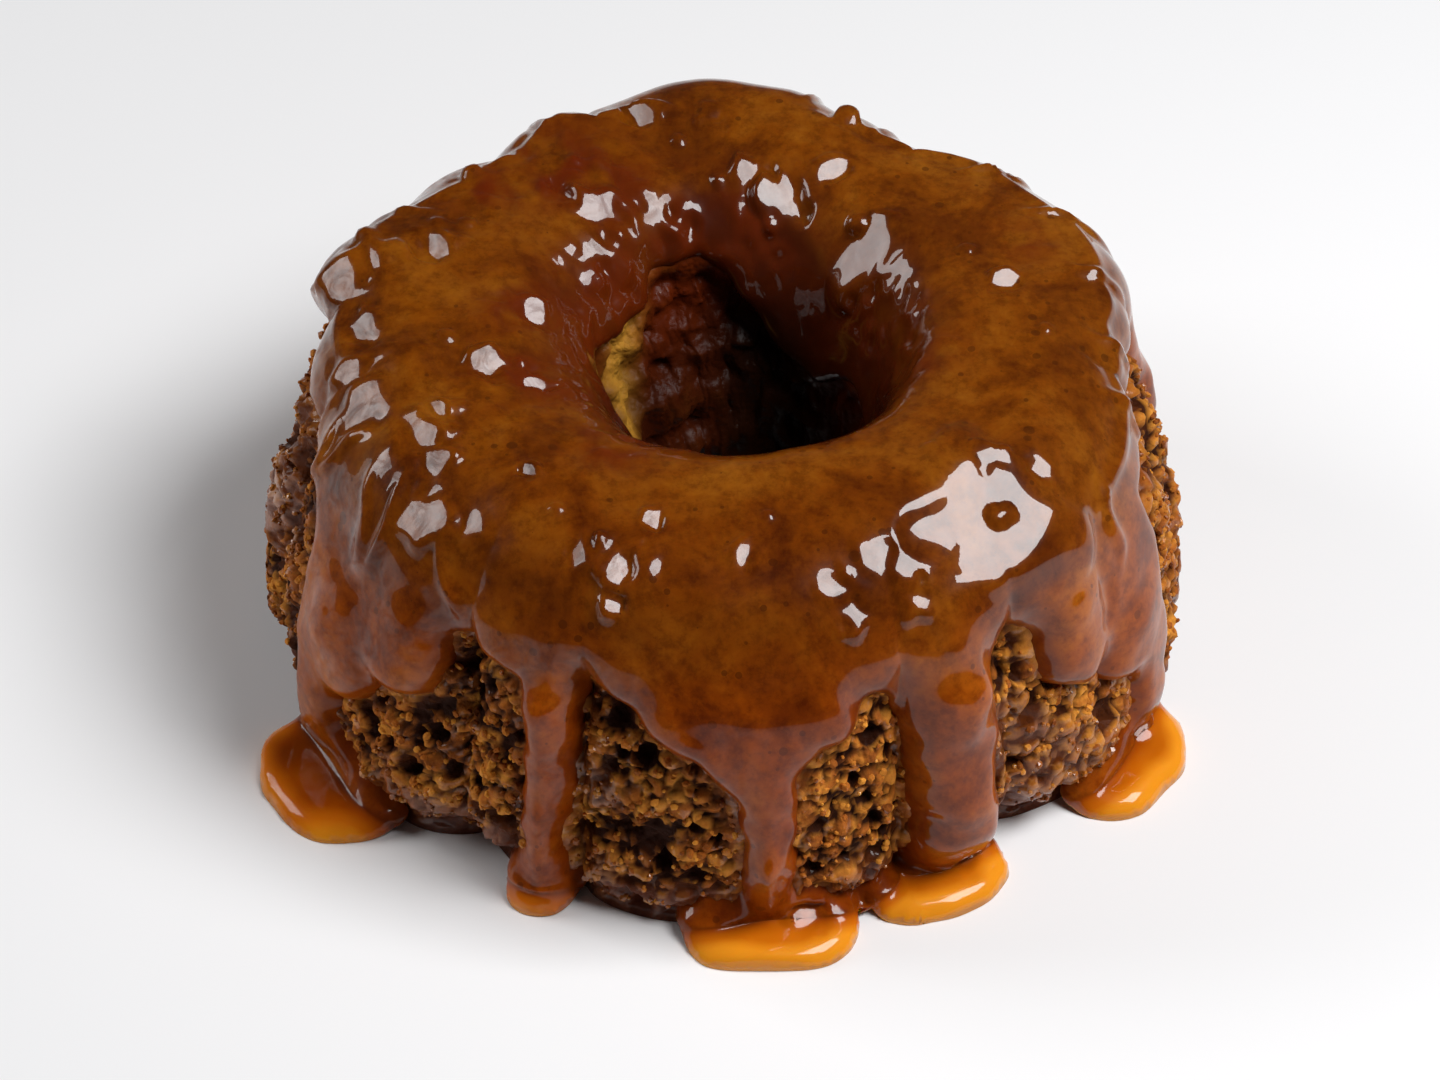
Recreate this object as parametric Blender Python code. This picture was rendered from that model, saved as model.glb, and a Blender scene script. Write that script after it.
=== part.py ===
# A small fluted ring cake of date sponge under a poured caramel coat, with caramel pooled round its foot.
# Metres, +Z up. The origin is on the table, under the middle of the cake, and the front faces -Y.
# Angles are in degrees round the cake, 0 at the front and positive towards +X.

import math

import bmesh
import bpy
import numpy as np
from mathutils import Vector, noise

MM = 0.001

# The cake: a ring with six broad lobes and six narrow ridges between them
CAKE_RADIUS = 50.0 * MM  # at the foot of a lobe
CAKE_HEIGHT = 41.6 * MM
CREST_RADIUS = 27.2 * MM  # of the circle along the top of the ring
OUTER_POWER = 0.52  # of the section outside the crest: 1 is an ellipse, less is squarer in the shoulder
INNER_POWER = 0.78  # of the section between the crest and the hole
WALL_DRAFT = 3.9 * MM  # how much the outer wall leans in on its way up
FOOT_TUCK = 1.6 * MM  # how much the wall turns in over the last stretch above the table
FOOT_TUCK_HEIGHT = 5 * MM
HOLE_FOOT_RADIUS = 9.2 * MM
HOLE_TOP_RADIUS = 12.6 * MM
HOLE_SHIFT = 2.6 * MM  # the hole stands a little to +X
LOBES = 6
FIRST_LOBE_ANGLE = 2.0
LOBE_HALF_ANGLE = 21.5
LOBE_SWELL = 4.1 * MM
RIDGE_SWELL = 3.0 * MM
UNEVEN_HEIGHT = 0.9 * MM
UNEVEN_SIZE = 24 * MM

# Each place where crumbs have broken from the foot: angle, half width in degrees, depth
FOOT_LOSSES = (
    (-34.0, 7.0, 2.6 * MM),
    (46.0, 8.0, 1.7 * MM),
    (150.0, 7.0, 2.0 * MM),
)
FOOT_LOSS_HEIGHT = 9 * MM

# Crags in the bare sponge, cut inwards from the form above
CRAG_DEPTH = 1.9 * MM
CRAG_SIZE = 4.6 * MM
HOLLOW_DEPTH = 1.5 * MM
HOLLOW_SIZE = 11 * MM
SKIN_FADE = 3.5 * MM  # crags fade out over this length under the caramel's edge
BARE_SWELL = 1.3 * MM  # how far the bare sponge stands out past the form that the caramel lies on
BARE_FLANK_SWELL = 2.3 * MM  # more of it on both flanks

# The caramel coat
GAP = 0.7 * MM  # between the sponge and the caramel
COAT_THICKNESS = 1.75 * MM
COAT_UNEVEN = 0.45 * MM
HOLE_THINNING = 0.35  # the share of its thickness that the caramel loses on its way into the hole
COAT_EDGE = 2.3 * MM  # the rounded edge's width
CREASE_FILL = 0.6  # share of a crease's depth that the caramel levels out at the front, fading to none at the back
FILL_WIDTH = 5 * MM  # the levelling fades out over this length at the edge
SINK = 1.6 * MM  # how far the shape dips into the sponge where there is no caramel
HEM_HEIGHT = 30.0 * MM  # of the caramel's lower edge above the foot, between the drips
HEM_WAVE = 1.3 * MM
FLANK_LIFT = 4.5 * MM  # the hem is higher on both flanks
FLANK_ANGLE = 88.0
FLANK_SPREAD = 17.0
HOLE_REACH = 17.5 * MM  # how far the caramel runs from the crest into the hole
HOLE_REACH_LOSS = 12.5 * MM  # less at the back left of the hole
HOLE_LOSS_ANGLE = -148.0
HOLE_LOSS_SPREAD = 56.0
DRIP_BLEND = 2.6 * MM
DRIP_TAPER = 0.05  # a drip widens by this much of its length going up
TIP_BULGE = 0.55 * MM

POOL_HEIGHT = 2.7 * MM
TO_POOL = POOL_HEIGHT + 0.75 * MM  # the tip of a drip that runs down to a pool

# Each drip: angle, half width, and height of its tip above the foot
DRIPS = (
    (-62.5, 2.7 * MM, TO_POOL),
    (-57.0, 5.6 * MM, 14.0 * MM),
    (-46.5, 4.6 * MM, 20.0 * MM),
    (-23.6, 2.5 * MM, TO_POOL),
    (-5.5, 3.6 * MM, 24.6 * MM),
    (2.5, 6.4 * MM, 20.5 * MM),
    (6.0, 3.3 * MM, TO_POOL),
    (12.0, 3.6 * MM, 25.0 * MM),
    (30.6, 5.7 * MM, TO_POOL),
    (50.5, 4.8 * MM, 19.5 * MM),
    (62.0, 5.0 * MM, 13.0 * MM),
    (66.0, 2.9 * MM, TO_POOL),
    (108.0, 3.4 * MM, 15.0 * MM),
    (128.0, 2.8 * MM, TO_POOL),
    (137.0, 4.4 * MM, 21.0 * MM),
    (153.0, 2.6 * MM, 10.5 * MM),
    (172.0, 5.0 * MM, 18.0 * MM),
    (178.0, 3.2 * MM, TO_POOL),
    (-161.0, 2.7 * MM, 13.5 * MM),
    (-142.0, 5.2 * MM, 19.0 * MM),
    (-136.0, 3.0 * MM, TO_POOL),
    (-116.0, 2.8 * MM, 17.0 * MM),
)

# Each lump that stands up in the coat: angle, distance outwards from the crest, half width, height
LUMPS = (
    (-110.0, 17.0 * MM, 6.5 * MM, 1.9 * MM),
    (104.0, 18.0 * MM, 6.0 * MM, 1.5 * MM),
    (-78.0, 9.0 * MM, 4.0 * MM, 1.0 * MM),
    (-60.0, 15.0 * MM, 4.5 * MM, 1.1 * MM),
    (172.0, 8.0 * MM, 8.0 * MM, 1.3 * MM),
    (38.0, 7.0 * MM, 7.0 * MM, 0.7 * MM),
)

# Each pool: name, angle, half width round the cake, distance of its far edge from the axis
POOLS = (
    ("pool_left", -57.5, 9.8 * MM, 57.5 * MM),
    ("pool_drip", -24.4, 3.7 * MM, 50.6 * MM),
    ("pool_front", 5.8, 9.4 * MM, 55.3 * MM),
    ("pool_front_right", 28.0, 8.2 * MM, 52.4 * MM),
    ("pool_right", 61.0, 9.5 * MM, 55.2 * MM),
    ("pool_back_right", 128.0, 7.6 * MM, 53.0 * MM),
    ("pool_back", 178.0, 8.8 * MM, 55.2 * MM),
    ("pool_back_left", -136.0, 8.2 * MM, 53.6 * MM),
)
POOL_DEPTH_IN = 46.0 * MM  # a pool runs under the cake's flank to this radius before the cake is cut out
POOL_POWER = 2.6
POOL_SIDES = 22
POOL_RINGS = (1.0, 0.985, 0.93, 0.8, 0.55)

FINE_COLUMNS = 300
FINE_ROWS = 112
CUTTER_COLUMNS = 180
CUTTER_ROWS = 56
SIDE_RADIUS = 46.5 * MM  # turns angles into lengths on the outer wall
CAKE_TRIANGLES = 5000
CUTTER_TRIANGLES = 3400
COAT_TRIANGLES = 5600  # before the sponge's form is cut out of it

SPONGE_COLOUR = (0.16, 0.062, 0.018, 1.0)
CARAMEL_COLOUR = (0.23, 0.075, 0.008, 1.0)
POOL_COLOUR = (0.42, 0.13, 0.006, 1.0)


def smooth_step(value):
    value = np.clip(value, 0, 1)
    return value * value * (3 - 2 * value)


def turn_between(angle, other):
    """The signed turn from other to angle, within half a turn."""
    return (angle - other + 180) % 360 - 180


def smooth_larger(first, second, blend):
    """The larger of two values, rounded off where they meet."""
    share = np.clip(0.5 + 0.5 * (first - second) / blend, 0, 1)
    return second + (first - second) * share + blend * share * (1 - share)


def swell(angle):
    """How far the flutes stand out of the creases at an angle."""
    pitch = 360 / LOBES
    across = np.abs(turn_between((angle - FIRST_LOBE_ANGLE) % pitch * LOBES, 0)) / LOBES
    lobe = np.clip(1 - (across / LOBE_HALF_ANGLE) ** 2.4, 0, 1) ** 0.5
    ridge_half = pitch / 2 - LOBE_HALF_ANGLE
    ridge = np.clip(1 - (np.abs(across - pitch / 2) / ridge_half) ** 2, 0, 1) ** 0.5
    return LOBE_SWELL * lobe + RIDGE_SWELL * ridge


def section(turn):
    """The reach from the crest, -1 at the hole to 1 at the wall, and the rise from 0 to 1 at a parameter."""
    power = np.where(turn > math.pi / 2, OUTER_POWER, INNER_POWER)
    reach = -np.sign(np.cos(turn)) * np.abs(np.cos(turn)) ** power
    return reach, np.abs(np.sin(turn)) ** power


def profile_table():
    """Evenly spaced parameters along the ring's section, from the hole's foot over the crest to the outer foot,
    and the length from the crest at each, negative towards the hole."""
    turn = np.linspace(0, math.pi, 4001)
    reach, rise = section(turn)
    inner_width = CREST_RADIUS - (HOLE_FOOT_RADIUS + HOLE_TOP_RADIUS) / 2
    width = np.where(reach > 0, CAKE_RADIUS - CREST_RADIUS, inner_width)
    steps = np.hypot(np.diff(reach * width), np.diff(rise * CAKE_HEIGHT))
    length = np.concatenate([[0], np.cumsum(steps)])
    return turn, length - np.interp(math.pi / 2, turn, length)


TURN, LENGTH = profile_table()
INNER_LENGTH, OUTER_LENGTH = -LENGTH[0], LENGTH[-1]


def place_on_ring(angle, along, flutes):
    """Points on the plain form of the cake, for grids of angles and lengths and this swell of its flutes."""
    reach, lean = section(np.interp(along, LENGTH, TURN))
    height = CAKE_HEIGHT * lean
    tuck = FOOT_TUCK * (1 - smooth_step(height / FOOT_TUCK_HEIGHT))
    for loss_angle, half_width, depth in FOOT_LOSSES:
        near = np.exp(-((turn_between(angle, loss_angle) / half_width) ** 2))
        tuck = tuck + depth * near * (1 - smooth_step(height / FOOT_LOSS_HEIGHT))
    outer = CAKE_RADIUS - LOBE_SWELL + flutes - WALL_DRAFT * lean - tuck
    inner = HOLE_FOOT_RADIUS + (HOLE_TOP_RADIUS - HOLE_FOOT_RADIUS) * lean
    width = np.where(reach > 0, outer - CREST_RADIUS, CREST_RADIUS - inner)
    radius = CREST_RADIUS + reach * width
    shift = HOLE_SHIFT * smooth_step((CREST_RADIUS - radius) / (CREST_RADIUS - HOLE_TOP_RADIUS))
    around = np.radians(angle)
    return np.stack([radius * np.sin(around) + shift, -radius * np.cos(around), height], -1)


def ring_points(angle, along):
    """The fluted ring, and directions out of it. They are those of a ring with no flutes, so they never cross."""
    plain = place_on_ring(angle, along, LOBE_SWELL / 2)
    along_angle = np.roll(plain, -1, axis=0) - np.roll(plain, 1, axis=0)
    out = np.cross(np.gradient(plain, axis=1), along_angle)
    out /= np.linalg.norm(out, axis=-1, keepdims=True)
    return place_on_ring(angle, along, swell(angle)), out


def noise_over(points, size, seed):
    """Smooth noise from -1 to 1 at each point."""
    flat = points.reshape(-1, 3) / size
    values = [noise.noise(Vector((x + seed, y - seed, z + 2 * seed))) for x, y, z in flat]
    return np.array(values).reshape(points.shape[:-1])


def crags_over(points, size, seed):
    """Rounded crumbs with clefts between them: 0 on a crumb's top, up to 1 in a cleft."""
    flat = points.reshape(-1, 3) / size
    nearest = [noise.voronoi(Vector((x + seed, y + seed, z)))[0][0] for x, y, z in flat]
    return np.clip(np.array(nearest), 0, 1).reshape(points.shape[:-1])


def flank_share(angle):
    """1 in the middle of both flanks, fading to 0 at the front and back."""
    return np.exp(-(((np.abs(turn_between(angle, 0)) - FLANK_ANGLE) / FLANK_SPREAD) ** 2))


def bare_share(angle, along):
    """1 where the caramel leaves the sponge bare, fading to 0 under its edge."""
    return smooth_step(0.5 - caramel_margin(angle, along) / SKIN_FADE)


def caramel_margin(angle, along):
    """How far each place lies inside the caramel's outline, negative outside it."""
    above_foot = OUTER_LENGTH - along
    around = np.radians(angle)
    wave = HEM_WAVE * (np.sin(7 * around + 1) + 0.6 * np.sin(13 * around))
    margin = above_foot - (HEM_HEIGHT + wave + FLANK_LIFT * flank_share(angle))
    for drip_angle, half_width, tip in DRIPS:
        sideways = np.radians(turn_between(angle, drip_angle)) * SIDE_RADIUS
        below = np.clip(tip + half_width - above_foot, 0, None)
        taper = DRIP_TAPER * np.clip(above_foot - tip, 0, None)
        inside = half_width + taper - np.hypot(sideways, below)
        margin = smooth_larger(margin, inside, DRIP_BLEND)
    loss = HOLE_REACH_LOSS * np.exp(-((turn_between(angle, HOLE_LOSS_ANGLE) / HOLE_LOSS_SPREAD) ** 4))
    hole_edge = HOLE_REACH - loss + HEM_WAVE * np.sin(5 * around)
    return np.minimum(margin, hole_edge + along)


def coat_thickness(points, angle, along, margin):
    """Thickness of the caramel where it lies, and a dip into the sponge where it doesn't."""
    full = COAT_THICKNESS + COAT_UNEVEN * noise_over(points, 13 * MM, 5.0)
    full = full * (1 - HOLE_THINNING * smooth_step(-along / (14 * MM)))
    for lump_angle, outwards, half_width, height in LUMPS:
        sideways = np.radians(turn_between(angle, lump_angle)) * np.hypot(points[..., 0], points[..., 1])
        away = np.hypot(sideways, along - outwards) / half_width
        full = full + height * np.exp(-(away**2))
    for drip_angle, half_width, tip in DRIPS:
        sideways = np.radians(turn_between(angle, drip_angle)) * SIDE_RADIUS
        above_tip = OUTER_LENGTH - along - tip - half_width
        full = full + TIP_BULGE * np.exp(-(np.hypot(sideways, above_tip) / half_width) ** 2)
    edge = 1 - np.clip(margin / COAT_EDGE, 0, 1)
    inside = full * np.sqrt(1 - edge**2)
    outside = -SINK * np.clip(-margin / (1.0 * MM), 0, 1)
    filled = LOBE_SWELL - swell(angle)
    on_wall = smooth_step(along / (0.5 * OUTER_LENGTH))
    share = CREASE_FILL * (1 + np.cos(np.radians(angle))) / 2
    fill = share * filled * on_wall * smooth_step(margin / FILL_WIDTH)
    return np.where(margin > 0, inside + fill, outside)


def even_grid(columns, rows):
    """Angles and lengths of a grid over the ring. The columns are the first axis."""
    angle = np.linspace(-180, 180, columns, endpoint=False)
    along = np.linspace(-INNER_LENGTH, OUTER_LENGTH, rows)
    return np.meshgrid(angle, along, indexing="ij")


def uneven_ring(angle, along):
    """The ring with the slow rise and fall that a hand-filled tin leaves. Its foot stays flat on the table."""
    points, out = ring_points(angle, along)
    lift = UNEVEN_HEIGHT * noise_over(points, UNEVEN_SIZE, 1.0)
    above = smooth_step(points[..., 2] / (8 * MM))
    return points + out * (lift * above)[..., None], out


def sponge_ring(angle, along):
    """The uneven ring, standing out further where it is bare, before any crags are cut."""
    points, out = uneven_ring(angle, along)
    on_wall = smooth_step((along - 12 * MM) / (8 * MM)) * smooth_step(points[..., 2] / (6 * MM))
    more = BARE_SWELL + (BARE_FLANK_SWELL - BARE_SWELL) * flank_share(angle)
    return points + out * (more * on_wall * bare_share(angle, along))[..., None], out


def ring_mesh(name, points):
    """A closed mesh from a grid that goes all round the ring. The last row joins the first, across the base."""
    columns, rows = points.shape[:2]
    shape = bmesh.new()
    grid = [[shape.verts.new(points[c, r]) for r in range(rows)] for c in range(columns)]
    for c in range(columns):
        here, there = grid[c], grid[(c + 1) % columns]
        for r in range(rows):
            after = (r + 1) % rows
            shape.faces.new((here[r], there[r], there[after], here[after]))
    bmesh.ops.recalc_face_normals(shape, faces=shape.faces)
    mesh = bpy.data.meshes.new(name)
    shape.to_mesh(mesh)
    shape.free()
    return mesh


def new_object(name, mesh, material=None):
    thing = bpy.data.objects.new(name, mesh)
    bpy.context.scene.collection.objects.link(thing)
    if material:
        mesh.materials.append(material)
    return thing


def new_material(name, colour, roughness, coat):
    material = bpy.data.materials.new(name)
    material.use_nodes = True
    shader = material.node_tree.nodes["Principled BSDF"]
    shader.inputs["Base Color"].default_value = colour
    shader.inputs["Roughness"].default_value = roughness
    shader.inputs["Coat Weight"].default_value = coat
    return material


def settle_modifiers(thing):
    """Gives an object its evaluated mesh in place of its modifiers."""
    graph = bpy.context.evaluated_depsgraph_get()
    mesh = bpy.data.meshes.new_from_object(thing.evaluated_get(graph))
    thing.modifiers.clear()
    thing.data = mesh


def decimate_to(thing, triangles):
    """Leaves a fine mesh with about this many triangles, most of them where the form turns."""
    count = sum(len(face.vertices) - 2 for face in thing.data.polygons)
    modifier = thing.modifiers.new("fewer_triangles", "DECIMATE")
    modifier.ratio = triangles / count
    modifier.use_collapse_triangulate = True
    settle_modifiers(thing)


def make_cake(material):
    """The sponge ring, with crags and hollows wherever the caramel leaves it bare."""
    angle, along = even_grid(FINE_COLUMNS, FINE_ROWS)
    points, out = sponge_ring(angle, along)
    above = smooth_step(points[..., 2] / (1.5 * MM))
    crags = CRAG_DEPTH * crags_over(points, CRAG_SIZE, 3.0)
    hollows = HOLLOW_DEPTH * np.clip(noise_over(points, HOLLOW_SIZE, 8.0), 0, 1)
    depth = (crags + hollows) * bare_share(angle, along) * above
    points = points - out * depth[..., None]
    cake = new_object("cake", ring_mesh("cake", points), material)
    decimate_to(cake, CAKE_TRIANGLES)
    return cake


def make_cake_cutter():
    """The cake's plain form grown by the gap, which is cut out of the caramel."""
    angle, along = even_grid(CUTTER_COLUMNS, CUTTER_ROWS)
    points, out = sponge_ring(angle, along)
    points = points + out * GAP
    points[..., 2] = np.where(points[..., 2] < MM, -MM, points[..., 2])
    cutter = new_object("cake_cutter", ring_mesh("cake_cutter", points))
    decimate_to(cutter, CUTTER_TRIANGLES)
    cutter.hide_render = True
    cutter.display_type = "WIRE"
    return cutter


def cut_by(thing, cutter):
    modifier = thing.modifiers.new("clear_of_cake", "BOOLEAN")
    modifier.operation = "DIFFERENCE"
    modifier.solver = "EXACT"
    modifier.object = cutter


def make_coat(material, cutter):
    """The poured caramel: one skin over the crown with all its drips."""
    angle, along = even_grid(FINE_COLUMNS, FINE_ROWS)
    points, out = uneven_ring(angle, along)
    margin = caramel_margin(angle, along)
    thickness = coat_thickness(points, angle, along, margin)
    points = points + out * (GAP + thickness)[..., None]
    coat = new_object("caramel_coat", ring_mesh("caramel_coat", points), material)
    decimate_to(coat, COAT_TRIANGLES)
    cut_by(coat, cutter)
    return coat


def make_pool(name, angle, half_width, far_edge, material, cutter):
    """A flat-topped pool with a rounded rim, lying on the table against the foot of the cake."""
    half_length = (far_edge - POOL_DEPTH_IN) / 2
    middle = (far_edge + POOL_DEPTH_IN) / 2
    shape = bmesh.new()
    rings = []
    for share in POOL_RINGS:
        height = POOL_HEIGHT * (1 - share**POOL_POWER) ** (1 / POOL_POWER)
        ring = []
        for side in range(POOL_SIDES):
            around = 2 * math.pi * side / POOL_SIDES
            wobble = 1 + 0.05 * math.sin(3 * around + angle)
            across = share * half_width * math.cos(around) * wobble
            outwards = middle + share * half_length * math.sin(around) * wobble
            ring.append(shape.verts.new((across, -outwards, height)))
        rings.append(ring)
    for lower, upper in zip(rings, rings[1:]):
        for side in range(POOL_SIDES):
            after = (side + 1) % POOL_SIDES
            shape.faces.new((lower[side], lower[after], upper[after], upper[side]))
    shape.faces.new(rings[0][::-1])
    shape.faces.new(rings[-1])
    bmesh.ops.recalc_face_normals(shape, faces=shape.faces)
    turn = math.radians(angle)
    for vertex in shape.verts:
        x, y, z = vertex.co
        vertex.co = (x * math.cos(turn) - y * math.sin(turn), x * math.sin(turn) + y * math.cos(turn), z)
    mesh = bpy.data.meshes.new(name)
    shape.to_mesh(mesh)
    shape.free()
    pool = new_object(name, mesh, material)
    cut_by(pool, cutter)
    return pool


def main():
    for old in list(bpy.data.objects):
        bpy.data.objects.remove(old)
    sponge = new_material("date_sponge", SPONGE_COLOUR, 0.6, 0.2)
    caramel = new_material("caramel", CARAMEL_COLOUR, 0.12, 1.0)
    pooled = new_material("pooled_caramel", POOL_COLOUR, 0.08, 1.0)
    make_cake(sponge)
    cutter = make_cake_cutter()
    make_coat(caramel, cutter)
    for name, angle, half_width, far_edge in POOLS:
        make_pool(name, angle, half_width, far_edge, pooled, cutter)


main()
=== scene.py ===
import math

import bpy
import numpy as np
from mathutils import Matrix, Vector, noise


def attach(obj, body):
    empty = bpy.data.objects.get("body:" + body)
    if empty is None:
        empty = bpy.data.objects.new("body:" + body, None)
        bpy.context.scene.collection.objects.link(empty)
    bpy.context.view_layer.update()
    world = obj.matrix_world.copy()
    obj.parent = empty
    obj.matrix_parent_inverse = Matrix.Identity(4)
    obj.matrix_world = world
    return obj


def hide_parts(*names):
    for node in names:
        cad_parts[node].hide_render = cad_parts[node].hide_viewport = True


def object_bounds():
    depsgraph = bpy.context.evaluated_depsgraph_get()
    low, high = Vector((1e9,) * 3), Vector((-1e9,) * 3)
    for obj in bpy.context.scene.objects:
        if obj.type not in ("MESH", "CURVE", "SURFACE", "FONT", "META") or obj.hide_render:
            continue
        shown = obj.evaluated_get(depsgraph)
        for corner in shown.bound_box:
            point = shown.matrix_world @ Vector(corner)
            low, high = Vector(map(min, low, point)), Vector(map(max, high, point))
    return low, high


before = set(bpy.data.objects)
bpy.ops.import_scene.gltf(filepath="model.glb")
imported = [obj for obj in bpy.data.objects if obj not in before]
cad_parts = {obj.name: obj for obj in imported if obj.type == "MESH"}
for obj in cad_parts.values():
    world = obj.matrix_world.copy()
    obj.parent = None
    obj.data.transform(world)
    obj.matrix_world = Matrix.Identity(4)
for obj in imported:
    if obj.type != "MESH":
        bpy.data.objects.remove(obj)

# A date ring cake under poured caramel. Metres, +Z up, the front faces -Y.
# Angles are in degrees round the cake, 0 at the front and positive to +X.
# "along" is the length over the ring's section: 0 on the crest, positive down the outer wall,
# negative in the hole.

mm = 0.001
cadLow, cadHigh = [Vector(corner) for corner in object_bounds()]
print("frame loaded", [round(v / mm, 1) for v in (*cadLow, *cadHigh)])


def withLengths(columns, *rows):
    # a table's rows, with the lengths in these columns turned from mm to metres
    return [tuple(value * mm if column in columns and value is not None else value
                  for column, value in enumerate(row)) for row in rows]


# The ring's own form, the same sizes as the solids

ring = {
    "radius": 50.0 * mm,
    "height": 41.6 * mm,
    "crest": 27.2 * mm,
    "outerPower": 0.52,
    "innerPower": 0.78,
    "draft": 3.9 * mm,
    "tuck": 1.6 * mm,
    "tuckHeight": 5 * mm,
    "holeFoot": 9.2 * mm,
    "holeTop": 12.6 * mm,
    "holeShift": 2.6 * mm,
    "lobes": 6,
    "firstLobe": 2.0,
    "lobeHalf": 21.5,
    "lobePower": 2.4,
    "lobeSwell": 4.1 * mm,
    "ridgeSwell": 3.0 * mm,
    "dips": withLengths(  # angle, half width in degrees, depth in mm
        (2,), (149, 8, 4.2), (163, 3, 0.9), (-141, 5, 1.6), (-122, 6, 1.5), (-96, 5, 0.6), (92, 3, 1.7),
    ),
    "unevenHeight": 0.9 * mm,
    "unevenSize": 24 * mm,
    "unevenFade": 8 * mm,  # no unevenness at the foot
    "sideRadius": 46.5 * mm,  # turns angles into lengths on the outer wall
    "footLosses": withLengths(  # the same, where the foot is worn back
        (2,), (-34, 7, 2.6), (46, 8, 1.7), (150, 7, 2), (31, 9, 3.6), (6, 8, 2.4), (64, 9, 2.2), (-60, 9, 2),
    ),
    "footLossHeight": 9 * mm,
}

pour = {
    "gap": 0.45 * mm,  # the caramel starts this far over the sponge's form
    "thickness": 1.75 * mm,
    "uneven": (0.45 * mm, 13 * mm, 5.0),  # here and below: height, size and seed of a noise
    "edge": 2.5 * mm,
    "creaseFill": 0.6,
    "fillWidth": 5 * mm,
    "hemHeight": 30.0 * mm,
    "hemWave": 1.3 * mm,
    "flankLift": 4.5 * mm,
    "flankAngle": 88.0,
    "flankSpread": 17.0,
    "holeReach": 25.0 * mm,
    "holeLoss": 11.5 * mm,
    "holeLossAngle": -137.0,
    "holeLossSpread": 57.0,
    "holeThinning": 0.62,
    "thinningReach": 14 * mm,
    "holeEdge": 3.0 * mm,  # how much longer the film thins out there
    "holeWobble": (2.6 * mm, 4.6 * mm, 19.0),
    "blend": 2.6 * mm,
    "taper": 0.05,
    "tipBulge": 0.55 * mm,
    "throughFoot": -2.5 * mm,  # the tip of a drip that runs on into a pool, below the foot
    "wobbles": ((0.6 * mm, 3.0 * mm, 14.0), (1.2 * mm, 7.5 * mm, 17.0)),
}

# In these tables angles are in degrees and lengths in mm. Each drip: angle, half width,
# height of its tip above the foot, or None where it runs on into a pool
drips = withLengths(
    (1, 2),
    (-62.5, 2.7, None),
    (-57, 5.6, 14),
    (-46.5, 4.6, 20),
    (-23.6, 1.4, None),
    (-5.5, 3.6, 24.6),
    (2.5, 6.4, 20.5),
    (5, 2, None),
    (12, 3.6, 25),
    (30.3, 3.9, None),
    (50.5, 4.8, 19.5),
    (62, 5, 13),
    (66, 2.9, None),
    (108, 3.4, 15),
    (128, 2.8, None),
    (137, 4.4, 21),
    (153, 2.6, 10.5),
    (172, 5, 18),
    (178, 3.2, None),
    (-161, 2.7, 13.5),
    (-142, 5.2, 19),
    (-136, 3, None),
    (-116, 2.8, 17),
)

# Each lump in the coat: angle, distance outwards from the crest, half width, height
lumps = withLengths(
    (1, 2, 3),
    (-106, 17.5, 7.5, 2.4),
    (104, 18, 6, 2.2),
    (117, 15, 7, 1.2),
    (-178, 13, 7.5, 1.3),
    (-154, 12.5, 5.5, 0.9),
    (-78, 9, 4, 1),
    (-60, 15, 4.5, 1.1),
    (172, 8, 8, 1.3),
    (38, 7, 7, 0.7),
)

# Each pool: the node it stands for, angle, half width, distance of its far edge from the axis
pools = withLengths(
    (2, 3),
    ("pool_left", -57.5, 9.8, 57.5),
    ("pool_drip", -24.4, 3.7, 50.6),
    ("pool_front", 5.8, 9.4, 55.3),
    ("pool_front_right", 28, 8.2, 52.4),
    ("pool_right", 61, 9.5, 55.2),
    ("pool_back_right", 128, 7.6, 53),
    ("pool_back", 178, 8.8, 55.2),
    ("pool_back_left", -136, 8.2, 53.6),
)
pool = {
    "inner": 41.0 * mm,
    "reachOut": 0.5 * mm,
    "power": 2.4,
    "height": 2.1 * mm,
    "edge": 2.5 * mm,
    "blend": 3.2 * mm,
    "near": 8 * mm,  # the coat's outline feels a pool this far off
    "calm": 0.65,  # how much smoother the outline is on the table
    "uneven": (0.12, 6 * mm, 91.0),
    "climb": 1.1,
    "spread": 14 * mm,  # how far the table is covered past the foot
    "fillet": 5.5 * mm,
    "floorLift": 0.05 * mm,
}


def smoothStep(value):
    value = np.clip(value, 0, 1)
    return value * value * (3 - 2 * value)


def turnBetween(angle, other):
    return (angle - other + 180) % 360 - 180


def bell(value):
    return np.exp(-(value**2))


def roundWall(angle, other):
    # the length round the outer wall between two angles
    return np.radians(turnBetween(angle, other)) * ring["sideRadius"]


def roundAxis(points, angle, other):
    # the same at each point's own distance from the axis
    return np.radians(turnBetween(angle, other)) * np.hypot(points[..., 0], points[..., 1])


def smoothLarger(first, second, blend):
    share = np.clip(0.5 + 0.5 * (first - second) / blend, 0, 1)
    return second + (first - second) * share + blend * share * (1 - share)


def noiseOver(points, size, seed):
    flat = points.reshape(-1, 3) / size
    values = [noise.noise(Vector((x + seed, y - seed, z + 2 * seed))) for x, y, z in flat.tolist()]
    return np.array(values).reshape(points.shape[:-1])


def cellsOver(points, size, seed):
    # distance to the nearest and the next feature point, and a random tone for each cell
    flat = points.reshape(-1, 3) / size
    found = [noise.voronoi(Vector((x + seed, y + seed, z))) for x, y, z in flat.tolist()]
    shape = points.shape[:-1]
    near = np.array([f[0][0] for f in found]).reshape(shape)
    following = np.array([f[0][1] for f in found]).reshape(shape)
    tone = np.array([math.sin(12.9 * f[1][0].x + 78.2 * f[1][0].y + 37.7 * f[1][0].z) * 437.5 for f in found])
    return near, following, (tone % 1).reshape(shape)


# The section, measured once

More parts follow.
